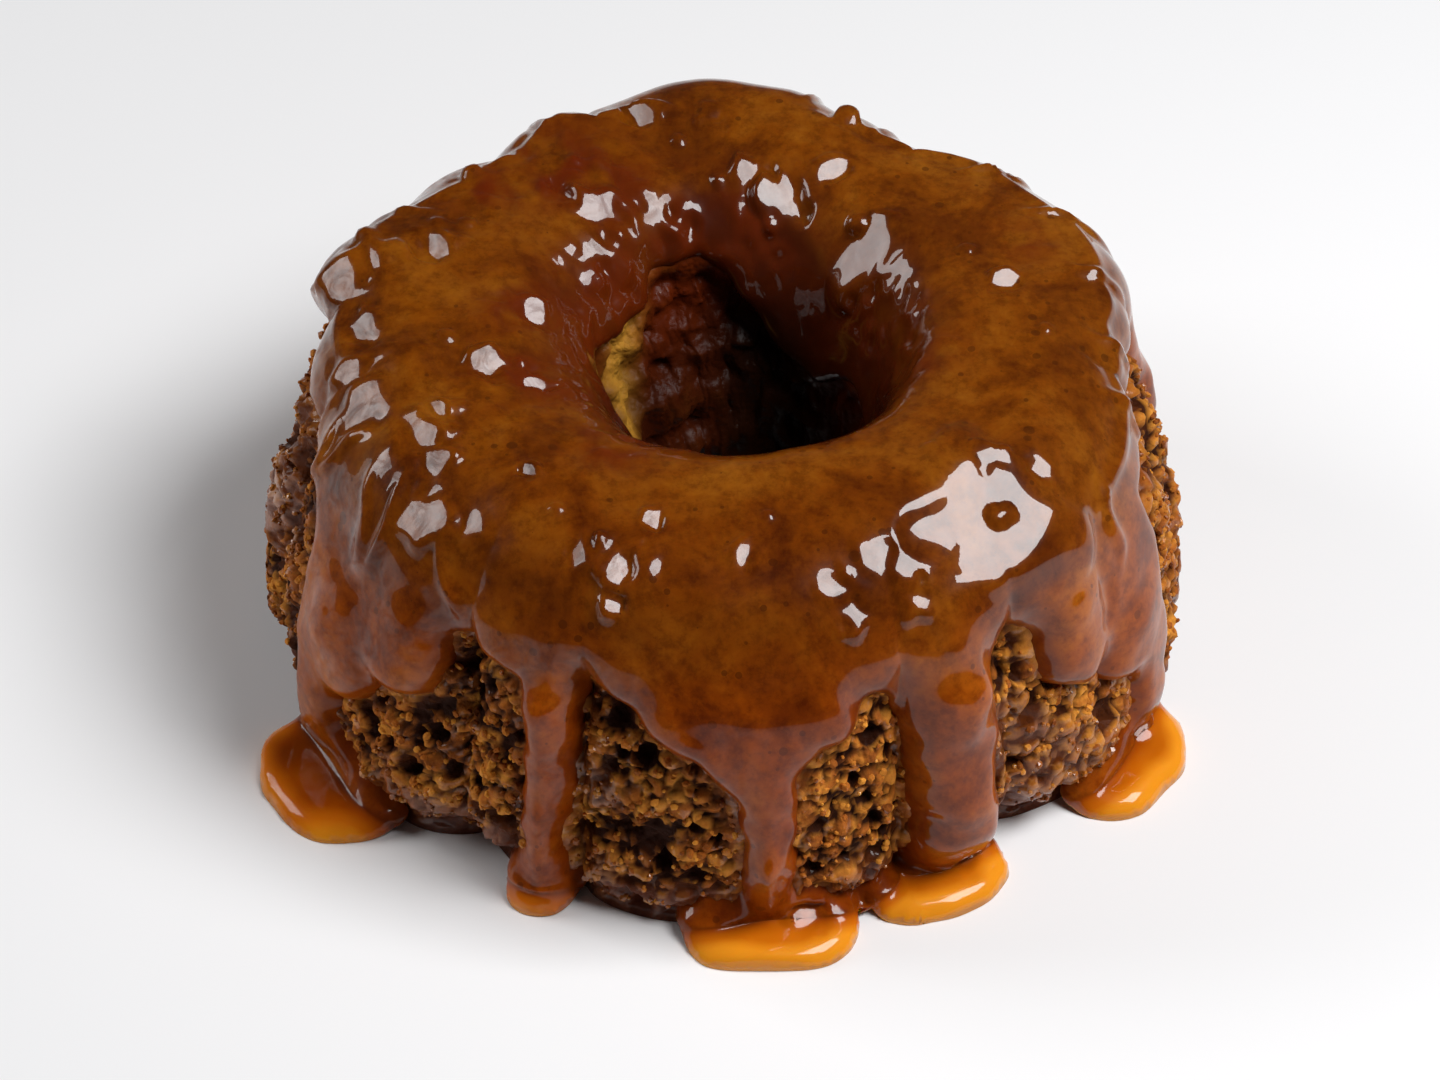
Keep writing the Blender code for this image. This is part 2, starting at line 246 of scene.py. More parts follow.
def section(turn):
    power = np.where(turn > math.pi / 2, ring["outerPower"], ring["innerPower"])
    reach = -np.sign(np.cos(turn)) * np.abs(np.cos(turn)) ** power
    return reach, np.abs(np.sin(turn)) ** power


def measureSection():
    turn = np.linspace(0, math.pi, 4001)
    reach, rise = section(turn)
    innerWidth = ring["crest"] - (ring["holeFoot"] + ring["holeTop"]) / 2
    width = np.where(reach > 0, ring["radius"] - ring["crest"], innerWidth)
    steps = np.hypot(np.diff(reach * width), np.diff(rise * ring["height"]))
    length = np.concatenate([[0], np.cumsum(steps)])
    return turn, length - np.interp(math.pi / 2, turn, length)


turnTable, lengthTable = measureSection()
innerLength, outerLength = -lengthTable[0], lengthTable[-1]


def flutes(angle):
    pitch = 360 / ring["lobes"]
    across = np.abs(turnBetween((angle - ring["firstLobe"]) % pitch * ring["lobes"], 0)) / ring["lobes"]
    lobe = np.clip(1 - (across / ring["lobeHalf"]) ** ring["lobePower"], 0, 1) ** 0.5
    ridgeHalf = pitch / 2 - ring["lobeHalf"]
    ridge = np.clip(1 - (np.abs(across - pitch / 2) / ridgeHalf) ** 2, 0, 1) ** 0.5
    swell = ring["lobeSwell"] * lobe + ring["ridgeSwell"] * ridge
    for dipAngle, halfWidth, depth in ring["dips"]:
        swell = swell - depth * bell(turnBetween(angle, dipAngle) / halfWidth)
    return swell


def wallProfile(angle, along, swell):
    # radius and height on the ring at an angle and a length over its section
    reach, lean = section(np.interp(along, lengthTable, turnTable))
    height = ring["height"] * lean
    tuck = ring["tuck"] * (1 - smoothStep(height / ring["tuckHeight"]))
    for lossAngle, halfWidth, depth in ring["footLosses"]:
        near = bell(turnBetween(angle, lossAngle) / halfWidth)
        tuck = tuck + depth * near * (1 - smoothStep(height / ring["footLossHeight"]))
    outer = ring["radius"] - ring["lobeSwell"] + swell - ring["draft"] * lean - tuck
    inner = ring["holeFoot"] + (ring["holeTop"] - ring["holeFoot"]) * lean
    width = np.where(reach > 0, outer - ring["crest"], ring["crest"] - inner)
    return ring["crest"] + reach * width, height


def placeOnRing(angle, along, swell):
    radius, height = wallProfile(angle, along, swell)
    # past the foot the line runs out over the table, with a rounded corner
    fillet = pool["fillet"]
    past = along - outerLength
    footRadius, _ = wallProfile(angle, np.full_like(along, outerLength), swell)
    radius = np.where(past > 0, footRadius + past, radius)
    height = np.where(past > 0, pool["floorLift"], np.maximum(height, pool["floorLift"]))
    share = (past + fillet) / (2 * fillet)
    startRadius, startHeight = wallProfile(angle, np.full_like(along, outerLength - fillet), swell)
    cornered = (share > 0) & (share < 1)
    bend = 2 * share * (1 - share)
    cornerRadius = (1 - share) ** 2 * startRadius + bend * footRadius + share**2 * (footRadius + fillet)
    cornerHeight = (1 - share) ** 2 * startHeight + (bend + share**2) * pool["floorLift"]
    return np.where(cornered, cornerRadius, radius), np.where(cornered, cornerHeight, height)


def ringPoints(angle, along, withTable):
    # points on the fluted ring and the directions out of it
    place = placeOnRing if withTable else wallProfile
    radius, height = place(angle, along, flutes(angle))
    step = 0.15 * mm
    plain = ring["lobeSwell"] / 2
    before, after = place(angle, along - step, plain), place(angle, along + step, plain)
    slopeRadius, slopeHeight = after[0] - before[0], after[1] - before[1]
    size = np.maximum(np.hypot(slopeRadius, slopeHeight), 1e-9)
    outRadius, outHeight = -slopeHeight / size, slopeRadius / size
    shift = ring["holeShift"] * smoothStep((ring["crest"] - radius) / (ring["crest"] - ring["holeTop"]))
    around = np.radians(angle)
    points = np.stack([radius * np.sin(around) + shift, -radius * np.cos(around), height], -1)
    out = np.stack([outRadius * np.sin(around), -outRadius * np.cos(around), outHeight], -1)
    lift = ring["unevenHeight"] * noiseOver(points, ring["unevenSize"], 1.0)
    above = smoothStep(points[..., 2] / ring["unevenFade"])
    return points + out * (lift * above)[..., None], out


# Where the caramel lies

def tableShare(along):
    return smoothStep((along - outerLength + 2 * mm) / (4 * mm))


def flankShare(angle):
    return bell((np.abs(turnBetween(angle, 0)) - pour["flankAngle"]) / pour["flankSpread"])


def plainMargin(angle, along):
    # how far each place lies inside the coat's outline, negative outside it
    aboveFoot = outerLength - along
    around = np.radians(angle)
    wave = pour["hemWave"] * (np.sin(7 * around + 1) + 0.6 * np.sin(13 * around))
    margin = aboveFoot - (pour["hemHeight"] + wave + pour["flankLift"] * flankShare(angle))
    for dripAngle, halfWidth, tip in drips:
        tip = pour["throughFoot"] if tip is None else tip
        sideways = roundWall(angle, dripAngle)
        below = np.clip(tip + halfWidth - aboveFoot, 0, None)
        taper = pour["taper"] * np.clip(aboveFoot - tip, 0, None)
        inside = halfWidth + taper - np.hypot(sideways, below)
        margin = smoothLarger(margin, inside, pour["blend"])
    loss = np.exp(-((turnBetween(angle, pour["holeLossAngle"]) / pour["holeLossSpread"]) ** 4))
    holeEdge = pour["holeReach"] - pour["holeLoss"] * loss + pour["hemWave"] * np.sin(5 * around)
    return np.minimum(margin, holeEdge + along)


def poolMargin(angle, along):
    past = along - outerLength
    footRadius, _ = wallProfile(angle, np.full_like(along, outerLength), flutes(angle))
    radius = footRadius + np.where(past > 0, past, past * pool["climb"])
    outside, widest = -1.0, 0.6  # a margin that means far outside, and the widest turn of a pool in radians
    margin = np.full_like(along, outside)
    for _, poolAngle, halfWidth, farEdge in pools:
        turn = np.radians(turnBetween(angle, poolAngle))
        halfLength = (farEdge + pool["reachOut"] - pool["inner"]) / 2
        across = np.sin(turn) * radius / halfWidth
        outwards = (np.cos(turn) * radius - (farEdge + pool["reachOut"] + pool["inner"]) / 2) / halfLength
        size = (np.abs(across) ** pool["power"] + np.abs(outwards) ** pool["power"]) ** (1 / pool["power"])
        inside = (1 - size) * min(halfWidth, halfLength)
        inside = np.where(np.abs(turn) < widest, inside, outside)
        margin = np.maximum(margin, inside)
    return margin


def fullMargin(angle, along, points):
    coat = plainMargin(angle, along)
    table = poolMargin(angle, along)
    joined = np.where(table > -pool["near"], smoothLarger(coat, table, pool["blend"]), coat)
    calm = 1 - pool["calm"] * smoothStep((along - outerLength + 3 * mm) / (4 * mm))
    for height, size, seed in pour["wobbles"]:
        joined = joined + height * calm * noiseOver(points, size, seed)
    height, size, seed = pour["holeWobble"]
    inHole = smoothStep((-3 * mm - along) / (5 * mm))
    return joined + height * inHole * noiseOver(points, size, seed)


def bareShare(angle, along, fade):
    return smoothStep(0.5 - plainMargin(angle, along) / fade)


# Meshes

def deselectAll():
    if bpy.context.object and bpy.context.object.mode != "OBJECT":
        bpy.ops.object.mode_set(mode="OBJECT")
    bpy.ops.object.select_all(action="DESELECT")


def gridRound(name, points):
    # a grid whose columns go round the cake and whose rows go round its section, both ends meeting
    deselectAll()
    columns, rows = points.shape[:2]
    bpy.ops.mesh.primitive_grid_add(x_subdivisions=columns, y_subdivisions=rows, size=0.1)
    piece = bpy.context.active_object
    piece.name = name
    piece.data.name = name
    piece.data.vertices.foreach_set("co", onGrid(points))
    piece.data.update()
    return piece


def onGrid(values):
    # repeats the first column and row at the end, in the order of the grid's vertices
    around = np.concatenate([values, values[:1]], axis=0)
    around = np.concatenate([around, around[:, :1]], axis=1)
    return np.swapaxes(around, 0, 1).reshape(-1).astype(np.float32)


def addAttribute(piece, name, values):
    attribute = piece.data.attributes.new(name, "FLOAT", "POINT")
    attribute.data.foreach_set("value", onGrid(values))


def chooseParts(kind, parts, chosen):
    # leaves edit mode on, with just the chosen vertices or faces selected
    bpy.ops.object.mode_set(mode="EDIT")
    bpy.ops.mesh.select_mode(type=kind)
    bpy.ops.mesh.select_all(action="DESELECT")
    bpy.ops.object.mode_set(mode="OBJECT")
    parts.foreach_set("select", chosen)
    bpy.ops.object.mode_set(mode="EDIT")


def cornersOf(piece):
    # for each face its number of corners, its first corner's place in the list, and the list
    sizes = np.empty(len(piece.data.polygons), dtype=np.int32)
    starts = np.empty(len(piece.data.polygons), dtype=np.int32)
    corners = np.empty(len(piece.data.loops), dtype=np.int32)
    piece.data.polygons.foreach_get("loop_total", sizes)
    piece.data.polygons.foreach_get("loop_start", starts)
    piece.data.loops.foreach_get("vertex_index", corners)
    return sizes, starts, corners


def trimRim(piece, gone, onRim):
    # drops what lies flat on the rim or past it, and cuts the faces beside it so that no cut lies on it
    sizes, starts, corners = cornersOf(piece)
    chooseParts("FACE", piece.data.polygons, np.add.reduceat(onRim[corners].astype(np.int32), starts) == sizes)
    bpy.ops.mesh.delete(type="ONLY_FACE")
    bpy.ops.object.mode_set(mode="OBJECT")
    for first, method in ((1, "FIXED"), (0, "FIXED_ALTERNATE")):
        sizes, starts, corners = cornersOf(piece)
        opposite = [np.minimum(starts + corner, len(corners) - 1) for corner in (first, first + 2)]
        crossing = onRim[corners[opposite[0]]] & onRim[corners[opposite[1]]] & (sizes == 4)
        chooseParts("FACE", piece.data.polygons, crossing)
        bpy.ops.mesh.quads_convert_to_tris(quad_method=method)
        bpy.ops.object.mode_set(mode="OBJECT")
    chooseParts("VERT", piece.data.vertices, gone)
    bpy.ops.mesh.delete(type="VERT")
    bpy.ops.object.mode_set(mode="OBJECT")


def joinSeams(piece):
    # merges the two ends
    deselectAll()
    bpy.context.view_layer.objects.active = piece
    piece.select_set(True)
    bpy.ops.object.mode_set(mode="EDIT")
    bpy.ops.mesh.select_mode(type="VERT")
    bpy.ops.mesh.select_all(action="SELECT")
    bpy.ops.mesh.remove_doubles(threshold=0.00001 * mm)
    bpy.ops.mesh.delete_loose()
    bpy.ops.object.mode_set(mode="OBJECT")
    bpy.ops.object.shade_smooth()


def insideBox(points):
    # eases what would pass the solids' box back inside it, with no flat cut
    margin, zone = 0.04 * mm, 1.2 * mm
    low = np.array(cadLow) + margin
    high = np.array(cadHigh) - margin
    over = np.clip(points - (high - zone), 0, None)
    below = np.clip((low + zone) - points, 0, None)
    below[..., 2] = 0
    eased = points - over + zone * np.tanh(over / zone) + below - zone * np.tanh(below / zone)
    eased[..., 2] = np.maximum(eased[..., 2], 0)
    return eased


def rowsBetween(stretches):
    # evenly spaced values over stretches of (start, end, count), ends not repeated
    return np.concatenate([np.linspace(start, end, count, endpoint=False) for start, end, count in stretches])


# The sponge

sponge = {
    "columns": 600,
    "wallRows": 88,
    "coveredRows": 8,
    "holeRows": 46,
    "deepRows": 16,
    "baseRows": 5,
    "crags": (1.3 * mm, 4.6 * mm, 3.0),
    "hollows": (1.5 * mm, 11 * mm, 8.0),
    "skinFade": 3.5 * mm,
    "bareSwell": 1.3 * mm,
    "flankSwell": 4.0 * mm,
    "granules": (0.95 * mm, 1.75 * mm, 21.0),
    "grains": (0.42 * mm, 1.05 * mm, 33.0),
    "holeLumps": (1.5 * mm, 2.7 * mm, 35.0),
    "poreSize": 3.1 * mm,
    "poreDepth": 2.0 * mm,
    "poreShare": 0.68,
    "crestDepth": 0.7 * mm,
    "pitDepth": 3.0 * mm,
    "driftSize": 1.9 * mm,
    "driftSeeds": (61.0, 67.0, 71.0),
    "drift": 0.55 * mm,
    "pores": (0.26, 0.22),  # the smallest pore's share of its cell, and how much larger the largest is
    "flatFoot": 1.2 * mm,
    # painted shade: the hole is painted near black below the next height
    "shadeHeight": 36.0 * mm,  # the hole darkens below this height, and higher up on its right side
    "shadeLean": 0.5,
    "shadeDepth": 10 * mm,
    # the hole's dark red is partly the soaked crumb's own red and partly painted shade deeper in the hole
    "redShadeStart": (2.0 * mm, 9.0 * mm),  # where the hole turns red at the back, and how much later at the sides
    "redShadeDepth": 4.5 * mm,
    # painted light: a golden strip where the hole's steep left wall catches the light, left unglazed and dry
    "litStripAngle": -120,  # one dry golden strip down the left of the hole
    "litStripLean": 1.3,  # degrees a millimetre
    "litStripMiddle": -22,
    "litStripHalf": 8,
    "litStripEnds": (-12 * mm, -30 * mm),
    "soakRelief": 0.35,  # how much flatter the crumb is where caramel soaked in
    "sunny": 0.2,  # painted light: the crumb on the right side is painted lighter, where more light falls
    "patches": (1.6, 7 * mm, 81.0),
}

# Where caramel has soaked into the crumb: angle, height above the foot, half width
soaks = withLengths(
    (1, 2),
    (46, 8, 8),
    (40, 16, 5),
    (57, 4, 6),
    (0, 1, 7),
    (-14, 1, 6),
    (19, 3, 5),
    (-34, 2, 7),
    (-47, 3, 6),
    (-19, 17, 3.5),
    (-84, 22, 6),
    (-98, 9, 7),
    (92, 5, 7),
    (145, 4, 7),
    (-155, 4, 8),
)


def holeShadeAt(points):
    # painted shade deep in the hole, blackest in a band just right of the middle
    x = points[..., 0]
    edge = sponge["shadeHeight"] + sponge["shadeLean"] * np.clip(x, -14 * mm, 4 * mm)
    most = 0.66 + 0.34 * smoothStep((x + 2.5 * mm) / (5 * mm)) * (1 - smoothStep((x - 7 * mm) / (5 * mm)))
    most = most - 0.45 * smoothStep((x - 7 * mm) / (5 * mm))
    return most * smoothStep((edge - points[..., 2]) / sponge["shadeDepth"])


# dark red deeper in the hole: partly the soaked crumb's and caramel's own red, partly painted shade
def redShadeAt(angle, along):
    start, later = sponge["redShadeStart"]
    start = start + later * smoothStep((174 - np.abs(turnBetween(angle, 0))) / 40)
    return smoothStep((-along - start) / sponge["redShadeDepth"])


def soakAt(points, angle, along):
    share = np.zeros_like(along)
    for soakAngle, height, halfWidth in soaks:
        sideways = roundWall(angle, soakAngle)
        apart = np.hypot(sideways, outerLength - along - height) / halfWidth
        share = np.maximum(share, bell(apart))
    return smoothStep(1.5 * share - 0.15 + 0.7 * noiseOver(points, 3.2 * mm, 83.0))


def spongeRows():
    wallTop = outerLength - 38 * mm
    holeTop, deep = -3 * mm, -27 * mm
    return rowsBetween((
        (outerLength, wallTop, sponge["wallRows"]),
        (wallTop, holeTop, sponge["coveredRows"]),
        (holeTop, deep, sponge["holeRows"]),
        (deep, -innerLength, sponge["deepRows"]),
    ))


def spongeForm(angle, along):
    points, out = ringPoints(angle, along, False)
    onWall = smoothStep((along - 12 * mm) / (8 * mm)) * smoothStep(points[..., 2] / (6 * mm))
    more = sponge["bareSwell"] + (sponge["flankSwell"] - sponge["bareSwell"]) * flankShare(angle)
    bare = bareShare(angle, along, sponge["skinFade"])
    return points + out * (more * onWall * bare)[..., None], out, bare


def crumbRelief(points, along):
    # crags, then granules with clefts between them, then pores
    inHole = smoothStep(-along / (5 * mm))
    depth, size, seed = sponge["crags"]
    near, _, _ = cellsOver(points, size, seed)
    sink = depth * np.clip(near, 0, 1)
    depth, size, seed = sponge["hollows"]
    sink = sink + depth * np.clip(noiseOver(points, size, seed), 0, 1)
    depth, size, seed = sponge["granules"]
    near, following, tone = cellsOver(points, size, seed)
    cleft = np.clip(near / np.maximum(following, 0.05), 0, 1) ** 3
    sink = sink + depth * (0.45 * near**2 + 0.75 * cleft) * (1 - 0.55 * inHole)
    depth, size, seed = sponge["holeLumps"]
    sink = sink + depth * inHole * (0.5 + noiseOver(points, size, seed))
    depth, size, seed = sponge["grains"]
    small, _, smallTone = cellsOver(points, size, seed)
    sink = sink + depth * small
    near, _, chance = cellsOver(points, sponge["poreSize"], 51.0)
    isPore = chance < sponge["poreShare"]
    smallest, larger = sponge["pores"]
    poreRadius = smallest + larger * chance / sponge["poreShare"]
    pore = np.where(isPore, np.clip(1 - (near / poreRadius) ** 2, 0, 1) ** 0.7, 0) * (1 - 0.6 * inHole)
    sink = sink + sponge["poreDepth"] * pore
    depth = (sink - sponge["crestDepth"]) / (sponge["pitDepth"] - sponge["crestDepth"])
    # the second value, how deep each place lies, paints shade in the pits
    return sink, np.clip(0.75 * depth + 0.35 * cleft + 0.5 * pore, 0, 1), 0.6 * tone + 0.4 * smallTone


def spongeFinish(points, angle, along, bare, pit, tone, soak):
    # what the sponge's material reads, each with its value on the underside
    hole = smoothStep((2 * mm - along) / (4 * mm))
    # painted light: the golden strip down the hole's left wall, where it catches the light; there the glaze,
    # red and shade are mostly left off
    lean = sponge["litStripLean"] * (along / mm - sponge["litStripMiddle"])
    litStrip = bell(turnBetween(angle, sponge["litStripAngle"] - lean) / sponge["litStripHalf"])
    top, bottom = sponge["litStripEnds"]
    litStrip = litStrip * smoothStep((top - along) / (4 * mm)) * smoothStep((along - bottom) / (4 * mm))
    low = 1 - smoothStep((points[..., 2] - 1.5 * mm) / (6 * mm))
    nearCoat = smoothStep(1 + plainMargin(angle, along) / (2.6 * mm))
    strength, size, seed = sponge["patches"]
    patches = smoothStep(0.6 + strength * noiseOver(points, size, seed))
    glaze = 0.9 * hole + low * (0.35 + 0.65 * patches) + 0.6 * nearCoat + 0.8 * flankShare(angle) * patches
    glaze = np.clip(glaze + 0.8 * soak, 0, 1)
    wet = np.clip(0.25 * glaze + 0.75 * soak + 0.5 * low * patches, 0, 1) * (1 - 0.85 * litStrip)
    # painted light: lighter crumb tones towards the right side
    sunny = sponge["sunny"] * smoothStep((points[..., 0] - 12 * mm) / (16 * mm))
    glaze = glaze * (1 - 0.9 * litStrip)
    return glaze, wet, {
        # painted shade: the pit value darkens the crumb in its pits and clefts
        "pit": (pit * bare, 0.2),
        "tone": (tone + sunny, 0.5),
        "glaze": (glaze, 0.0),
        "hole": (redShadeAt(angle, along) * (1 - 0.9 * litStrip), 0.0),
        "wet": (wet * (1 - 0.5 * hole), 0.0),
        "litStrip": (litStrip, 0.0),
        # painted shade: the crumb deep in the hole is painted near black
        "deep": (hole * holeShadeAt(points) * (1 - 0.7 * litStrip), 0.0),
        "low": (low, 0.5),
    }


def makeSponge():
    columns, baseRows = sponge["columns"], sponge["baseRows"]
    angle, along = np.meshgrid(np.linspace(-180, 180, columns, endpoint=False), spongeRows(), indexing="ij")
    points, out, bare = spongeForm(angle, along)
    sink, pit, tone = crumbRelief(points, along)
    soak = soakAt(points, angle, along)
    sink = sink * (1 - sponge["soakRelief"] * soak)
    above = smoothStep(points[..., 2] / sponge["flatFoot"])
    side = np.stack([noiseOver(points, sponge["driftSize"], seed) for seed in sponge["driftSeeds"]], -1)
    moved = points - out * (sink * bare * above)[..., None] + side * (sponge["drift"] * bare * above)[..., None]
    # the underside joins the hole's foot to the wall's foot
    share = np.linspace(0, 1, baseRows + 2)[1:-1][None, :, None]
    base = moved[:, -1:, :] * (1 - share) + moved[:, :1, :] * share
    base[..., 2] = 0
    moved[..., 2] = np.maximum(moved[..., 2], 0)
    piece = gridRound("sponge", insideBox(np.concatenate([moved, base], axis=1)))
    glaze, wet, finish = spongeFinish(points, angle, along, bare, pit, tone, soak)
    for name, (values, onBase) in finish.items():
        addAttribute(piece, name, np.concatenate([values, np.full((columns, baseRows), onBase)], axis=1))
    joinSeams(piece)
    shallow = (pit < crumbs["deepest"]) * (points[..., 2] > crumbs["lowest"])
    places = smoothStep((along - 20 * mm) / (4 * mm)) * bare * shallow
    spots = np.nonzero((places > 0.6).reshape(-1))[0]
    flat = [values.reshape(-1, *values.shape[2:]) for values in (moved, out, glaze, wet)]
    return piece, makeCrumbs(spots, *flat)


crumbs = {
    "count": 2400,
    "radius": (0.25 * mm, 0.7 * mm),
    "squash": (0.55, 1.0),
    "lift": 0.02 * mm,
    "sunk": 0.3,  # the share of its radius by which a crumb is set in
    "angular": (0.28, 0.8, 3.0),
    "deepest": 0.45,  # no crumb lies in a pit deeper than this, or lower on the wall
    "lowest": 1.5 * mm,
    "seed": 5,
}


def makeCrumbs(spots, places, outs, glazes, wets):
    # one small angular crumb, copied over the bare wall with its own size and turn
    deselectAll()
    bpy.ops.mesh.primitive_uv_sphere_add(segments=6, ring_count=4, radius=1)
    start = bpy.context.active_object
    shape = np.array([vertex.co for vertex in start.data.vertices])
    height, size, seed = crumbs["angular"]
    shape = shape * (1 + height * noiseOver(shape, size, seed))[:, None]
    faces = sorted(list(face.vertices) for face in start.data.polygons)
    bpy.data.objects.remove(start)
    draw = np.random.default_rng(crumbs["seed"])
    chosen = draw.choice(spots, crumbs["count"], replace=False)
    points, allFaces, tones, glazeValues, wetValues = [], [], [], [], []
    low, high = crumbs["radius"]
    for number, spot in enumerate(chosen):
        radius = low + (high - low) * draw.random() ** 1.8
        sizes = radius * draw.uniform(*crumbs["squash"], 3)
        turn = np.linalg.qr(draw.normal(size=(3, 3)))[0]
        turn = turn * np.sign(np.linalg.det(turn))
        lift = crumbs["lift"] - crumbs["sunk"] * radius
        points.append((shape * sizes) @ turn.T + places[spot] + outs[spot] * lift)
        allFaces.extend([[index + number * len(shape) for index in face] for face in faces])
        tones.append(np.full(len(shape), draw.random()))
        glazeValues.append(np.full(len(shape), glazes[spot] * draw.uniform(0.4, 1)))
        wetValues.append(np.full(len(shape), wets[spot]))
    mesh = bpy.data.meshes.new("crumbs")
    mesh.from_pydata(insideBox(np.concatenate(points)).tolist(), [], allFaces)
    for name, values in (("tone", tones), ("glaze", glazeValues), ("wet", wetValues)):
        values = np.concatenate(values).astype(np.float32)
        mesh.attributes.new(name, "FLOAT", "POINT").data.foreach_set("value", values)
    piece = bpy.data.objects.new("crumbs", mesh)
    bpy.context.scene.collection.objects.link(piece)
    return piece


# The caramel, one skin over the crown that runs down its drips into the pools

caramel = {
    "columns": 600,
    "rows": 196,
    "lastLine": -29 * mm,
    "sink": 1.0 * mm,  # how deep the skin's underside lies in the sponge
    "rim": 0.4 * mm,  # the width over which the edge dips into the sponge
    "wave": (0.3 * mm, 9.5 * mm, 24.0),
    "ripple": (0.34 * mm, 4.6 * mm, 27.0),
    "pores": (0.85 * mm, 1.9 * mm, 45.0),
    "calmRipple": 0.35,  # the share of the ripples that the smooth right side has
    "foldWidth": 0.75 * mm,
    "wrinkleWidth": 0.95 * mm,
    "facetLimit": 1.1 * mm,
    "facetRagged": 0.75,
    "thinnest": 0.1 * mm,  # the least distance inside the rim of what is kept
    "snapStep": 0.1 * mm,
    "snapLimit": 0.75 * mm,
    "snapRounds": 4,
    "snapShare": 0.97,  # not the whole way, so that no two points meet
    "gapRounds": 10,
    "footWidth": 1.8 * mm,  # the corner between wall and table is rounded over this width
    "footRounds": 12,
    "undersideStart": 1.5 * mm,
    "undersideShare": 0.62,  # the share of all faces that is left when the hidden underside is thinned
}

# Ridges where the caramel folded as it ran: angle, start and end along the section, drift in degrees, height
folds = withLengths(
    (1, 2, 4),
    (-43, 15, 26, 5, 0.5),
    (-52, 12, 28, -5, 0.7),
    (-61, 15, 27, 4, 0.65),
    (-68, 13, 25, -4, 0.65),
    (-75, 16, 28, 4, 0.6),
    (-81, 12, 27, 5, 0.6),
    (-98, 12, 24, -6, 0.55),
    (-121, 9, 23, 5, 0.5),
    (-147, 10, 22, -4, 0.45),
    (63, 17, 29, -3, 0.45),
    (76, 14, 28, 4, 0.5),
    (90, 12, 27, -5, 0.6),
    (105, 11, 23, -7, 0.6),
    (119, 9, 22, -6, 0.65),
    (133, 8, 20, -5, 0.55),
    (150, 9, 21, 4, 0.45),
    (168, 10, 22, -5, 0.5),
)

# Wrinkles that run round the rim: first and last angle, place along the section, drift, height
wrinkles = withLengths(
    (2, 3, 4),
    (-170, -143, 10, 3, 0.55),
    (-158, -126, 14, -3.5, 0.5),
    (-132, -104, 11, 3.5, 0.5),
    (-106, -74, 18, -3, 0.5),
    (138, 170, 12, -3.5, 0.6),
    (150, 178, 7, 2.5, 0.5),
    (112, 146, 14, -2.5, 0.55),
    (82, 120, 17, -2.5, 0.6),
    (57, 92, 21, -4, 0.55),
)

# Drops and swellings in the drips: angle, height above the foot, half width, height
beads = withLengths(
    (1, 2, 3),
    (31, 25.5, 3.4, 1.15),
    (30, 13, 3, 0.8),
    (50, 29.5, 2.8, 0.8),
    (-4.6, 25.5, 1.8, 0.6),
    (4.6, 10.5, 2.1, 1.5),
    (-25, 26.5, 2, 0.7),
    (-23.4, 13, 1.8, 0.55),
    (-58, 24, 3.2, 0.9),
    (62, 21, 3, 0.9),
    (108, 22, 3, 0.8),
    (172, 25, 3.4, 0.9),
    (-142, 26, 3.2, 0.9),
)

# Flat spots that catch a light: angle, along, half width, the light
facets = withLengths(
    (1, 2),
    (43.5, 16.8, 10.6, "main"),
    (25.5, 16.2, 2, "main"),
    (49.5, 9.5, 2.6, "main"),
    (55.5, 14, 1.8, "main"),
    (27, 19, 2, "main"),
    (22, 14.6, 2.5, "main"),
    (15, 15.3, 2.2, "main"),
    (18, 18.4, 2, "main"),
    (3, 10.3, 1.9, "main"),
    (-11, 12.7, 1.7, "main"),
    (-17, 14.6, 2.6, "main"),
    (-16, 17.4, 1.8, "main"),
    (-14, 6.2, 2, "main"),
    (-23, 13.9, 2, "left"),
    (-39, 6.4, 1.8, "left"),
    (-66, -4.8, 1.8, "main"),
    (-74, -0.7, 3.2, "main"),
    (-97, -5.6, 3.4, "main"),
    (-142, -3.6, 3.6, "main"),
    (166, -3.9, 3.6, "main"),
    (155, -1, 3, "main"),
    (174, -3, 2.6, "main"),
    (100, 4.6, 2.4, "main"),
    (-178, 7, 2.2, "main"),
    (137, -8.7, 5, "left"),
    (-100, 15.5, 5, "left"),
    (-88, 13, 3.2, "left"),
    (-73, 14.5, 4.2, "left"),
    (-60, 10.6, 4.6, "left"),
    (-49, 16.5, 4.6, "left"),
    (-110, 7, 3.4, "left"),
    (-104, 12.5, 3.6, "left"),
    (-63, 7.2, 2.8, "left"),
    (-54, 11.8, 2.8, "left"),
    (-81, 16, 2.8, "left"),
    (-41, 15, 2.2, "left"),
    (-165, 9, 3.2, "left"),
    (9.5, 56, 1.9, "main"),
    (32, 56, 1.9, "main"),
    (64, 56, 2.1, "main"),
)


def coatThickness(points, angle, along):
    height, size, seed = pour["uneven"]
    full = pour["thickness"] + height * noiseOver(points, size, seed)
    full = full * (1 - pour["holeThinning"] * smoothStep(-along / pour["thinningReach"]))
    for lumpAngle, outwards, halfWidth, height in lumps:
        sideways = roundAxis(points, angle, lumpAngle)
        full = full + height * bell(np.hypot(sideways, along - outwards) / halfWidth)
    for dripAngle, halfWidth, tip in drips:
        if tip is not None:
            sideways = roundWall(angle, dripAngle)
            aboveTip = outerLength - along - tip - halfWidth
            full = full + pour["tipBulge"] * bell(np.hypot(sideways, aboveTip) / halfWidth)
    return full + pour["gap"]


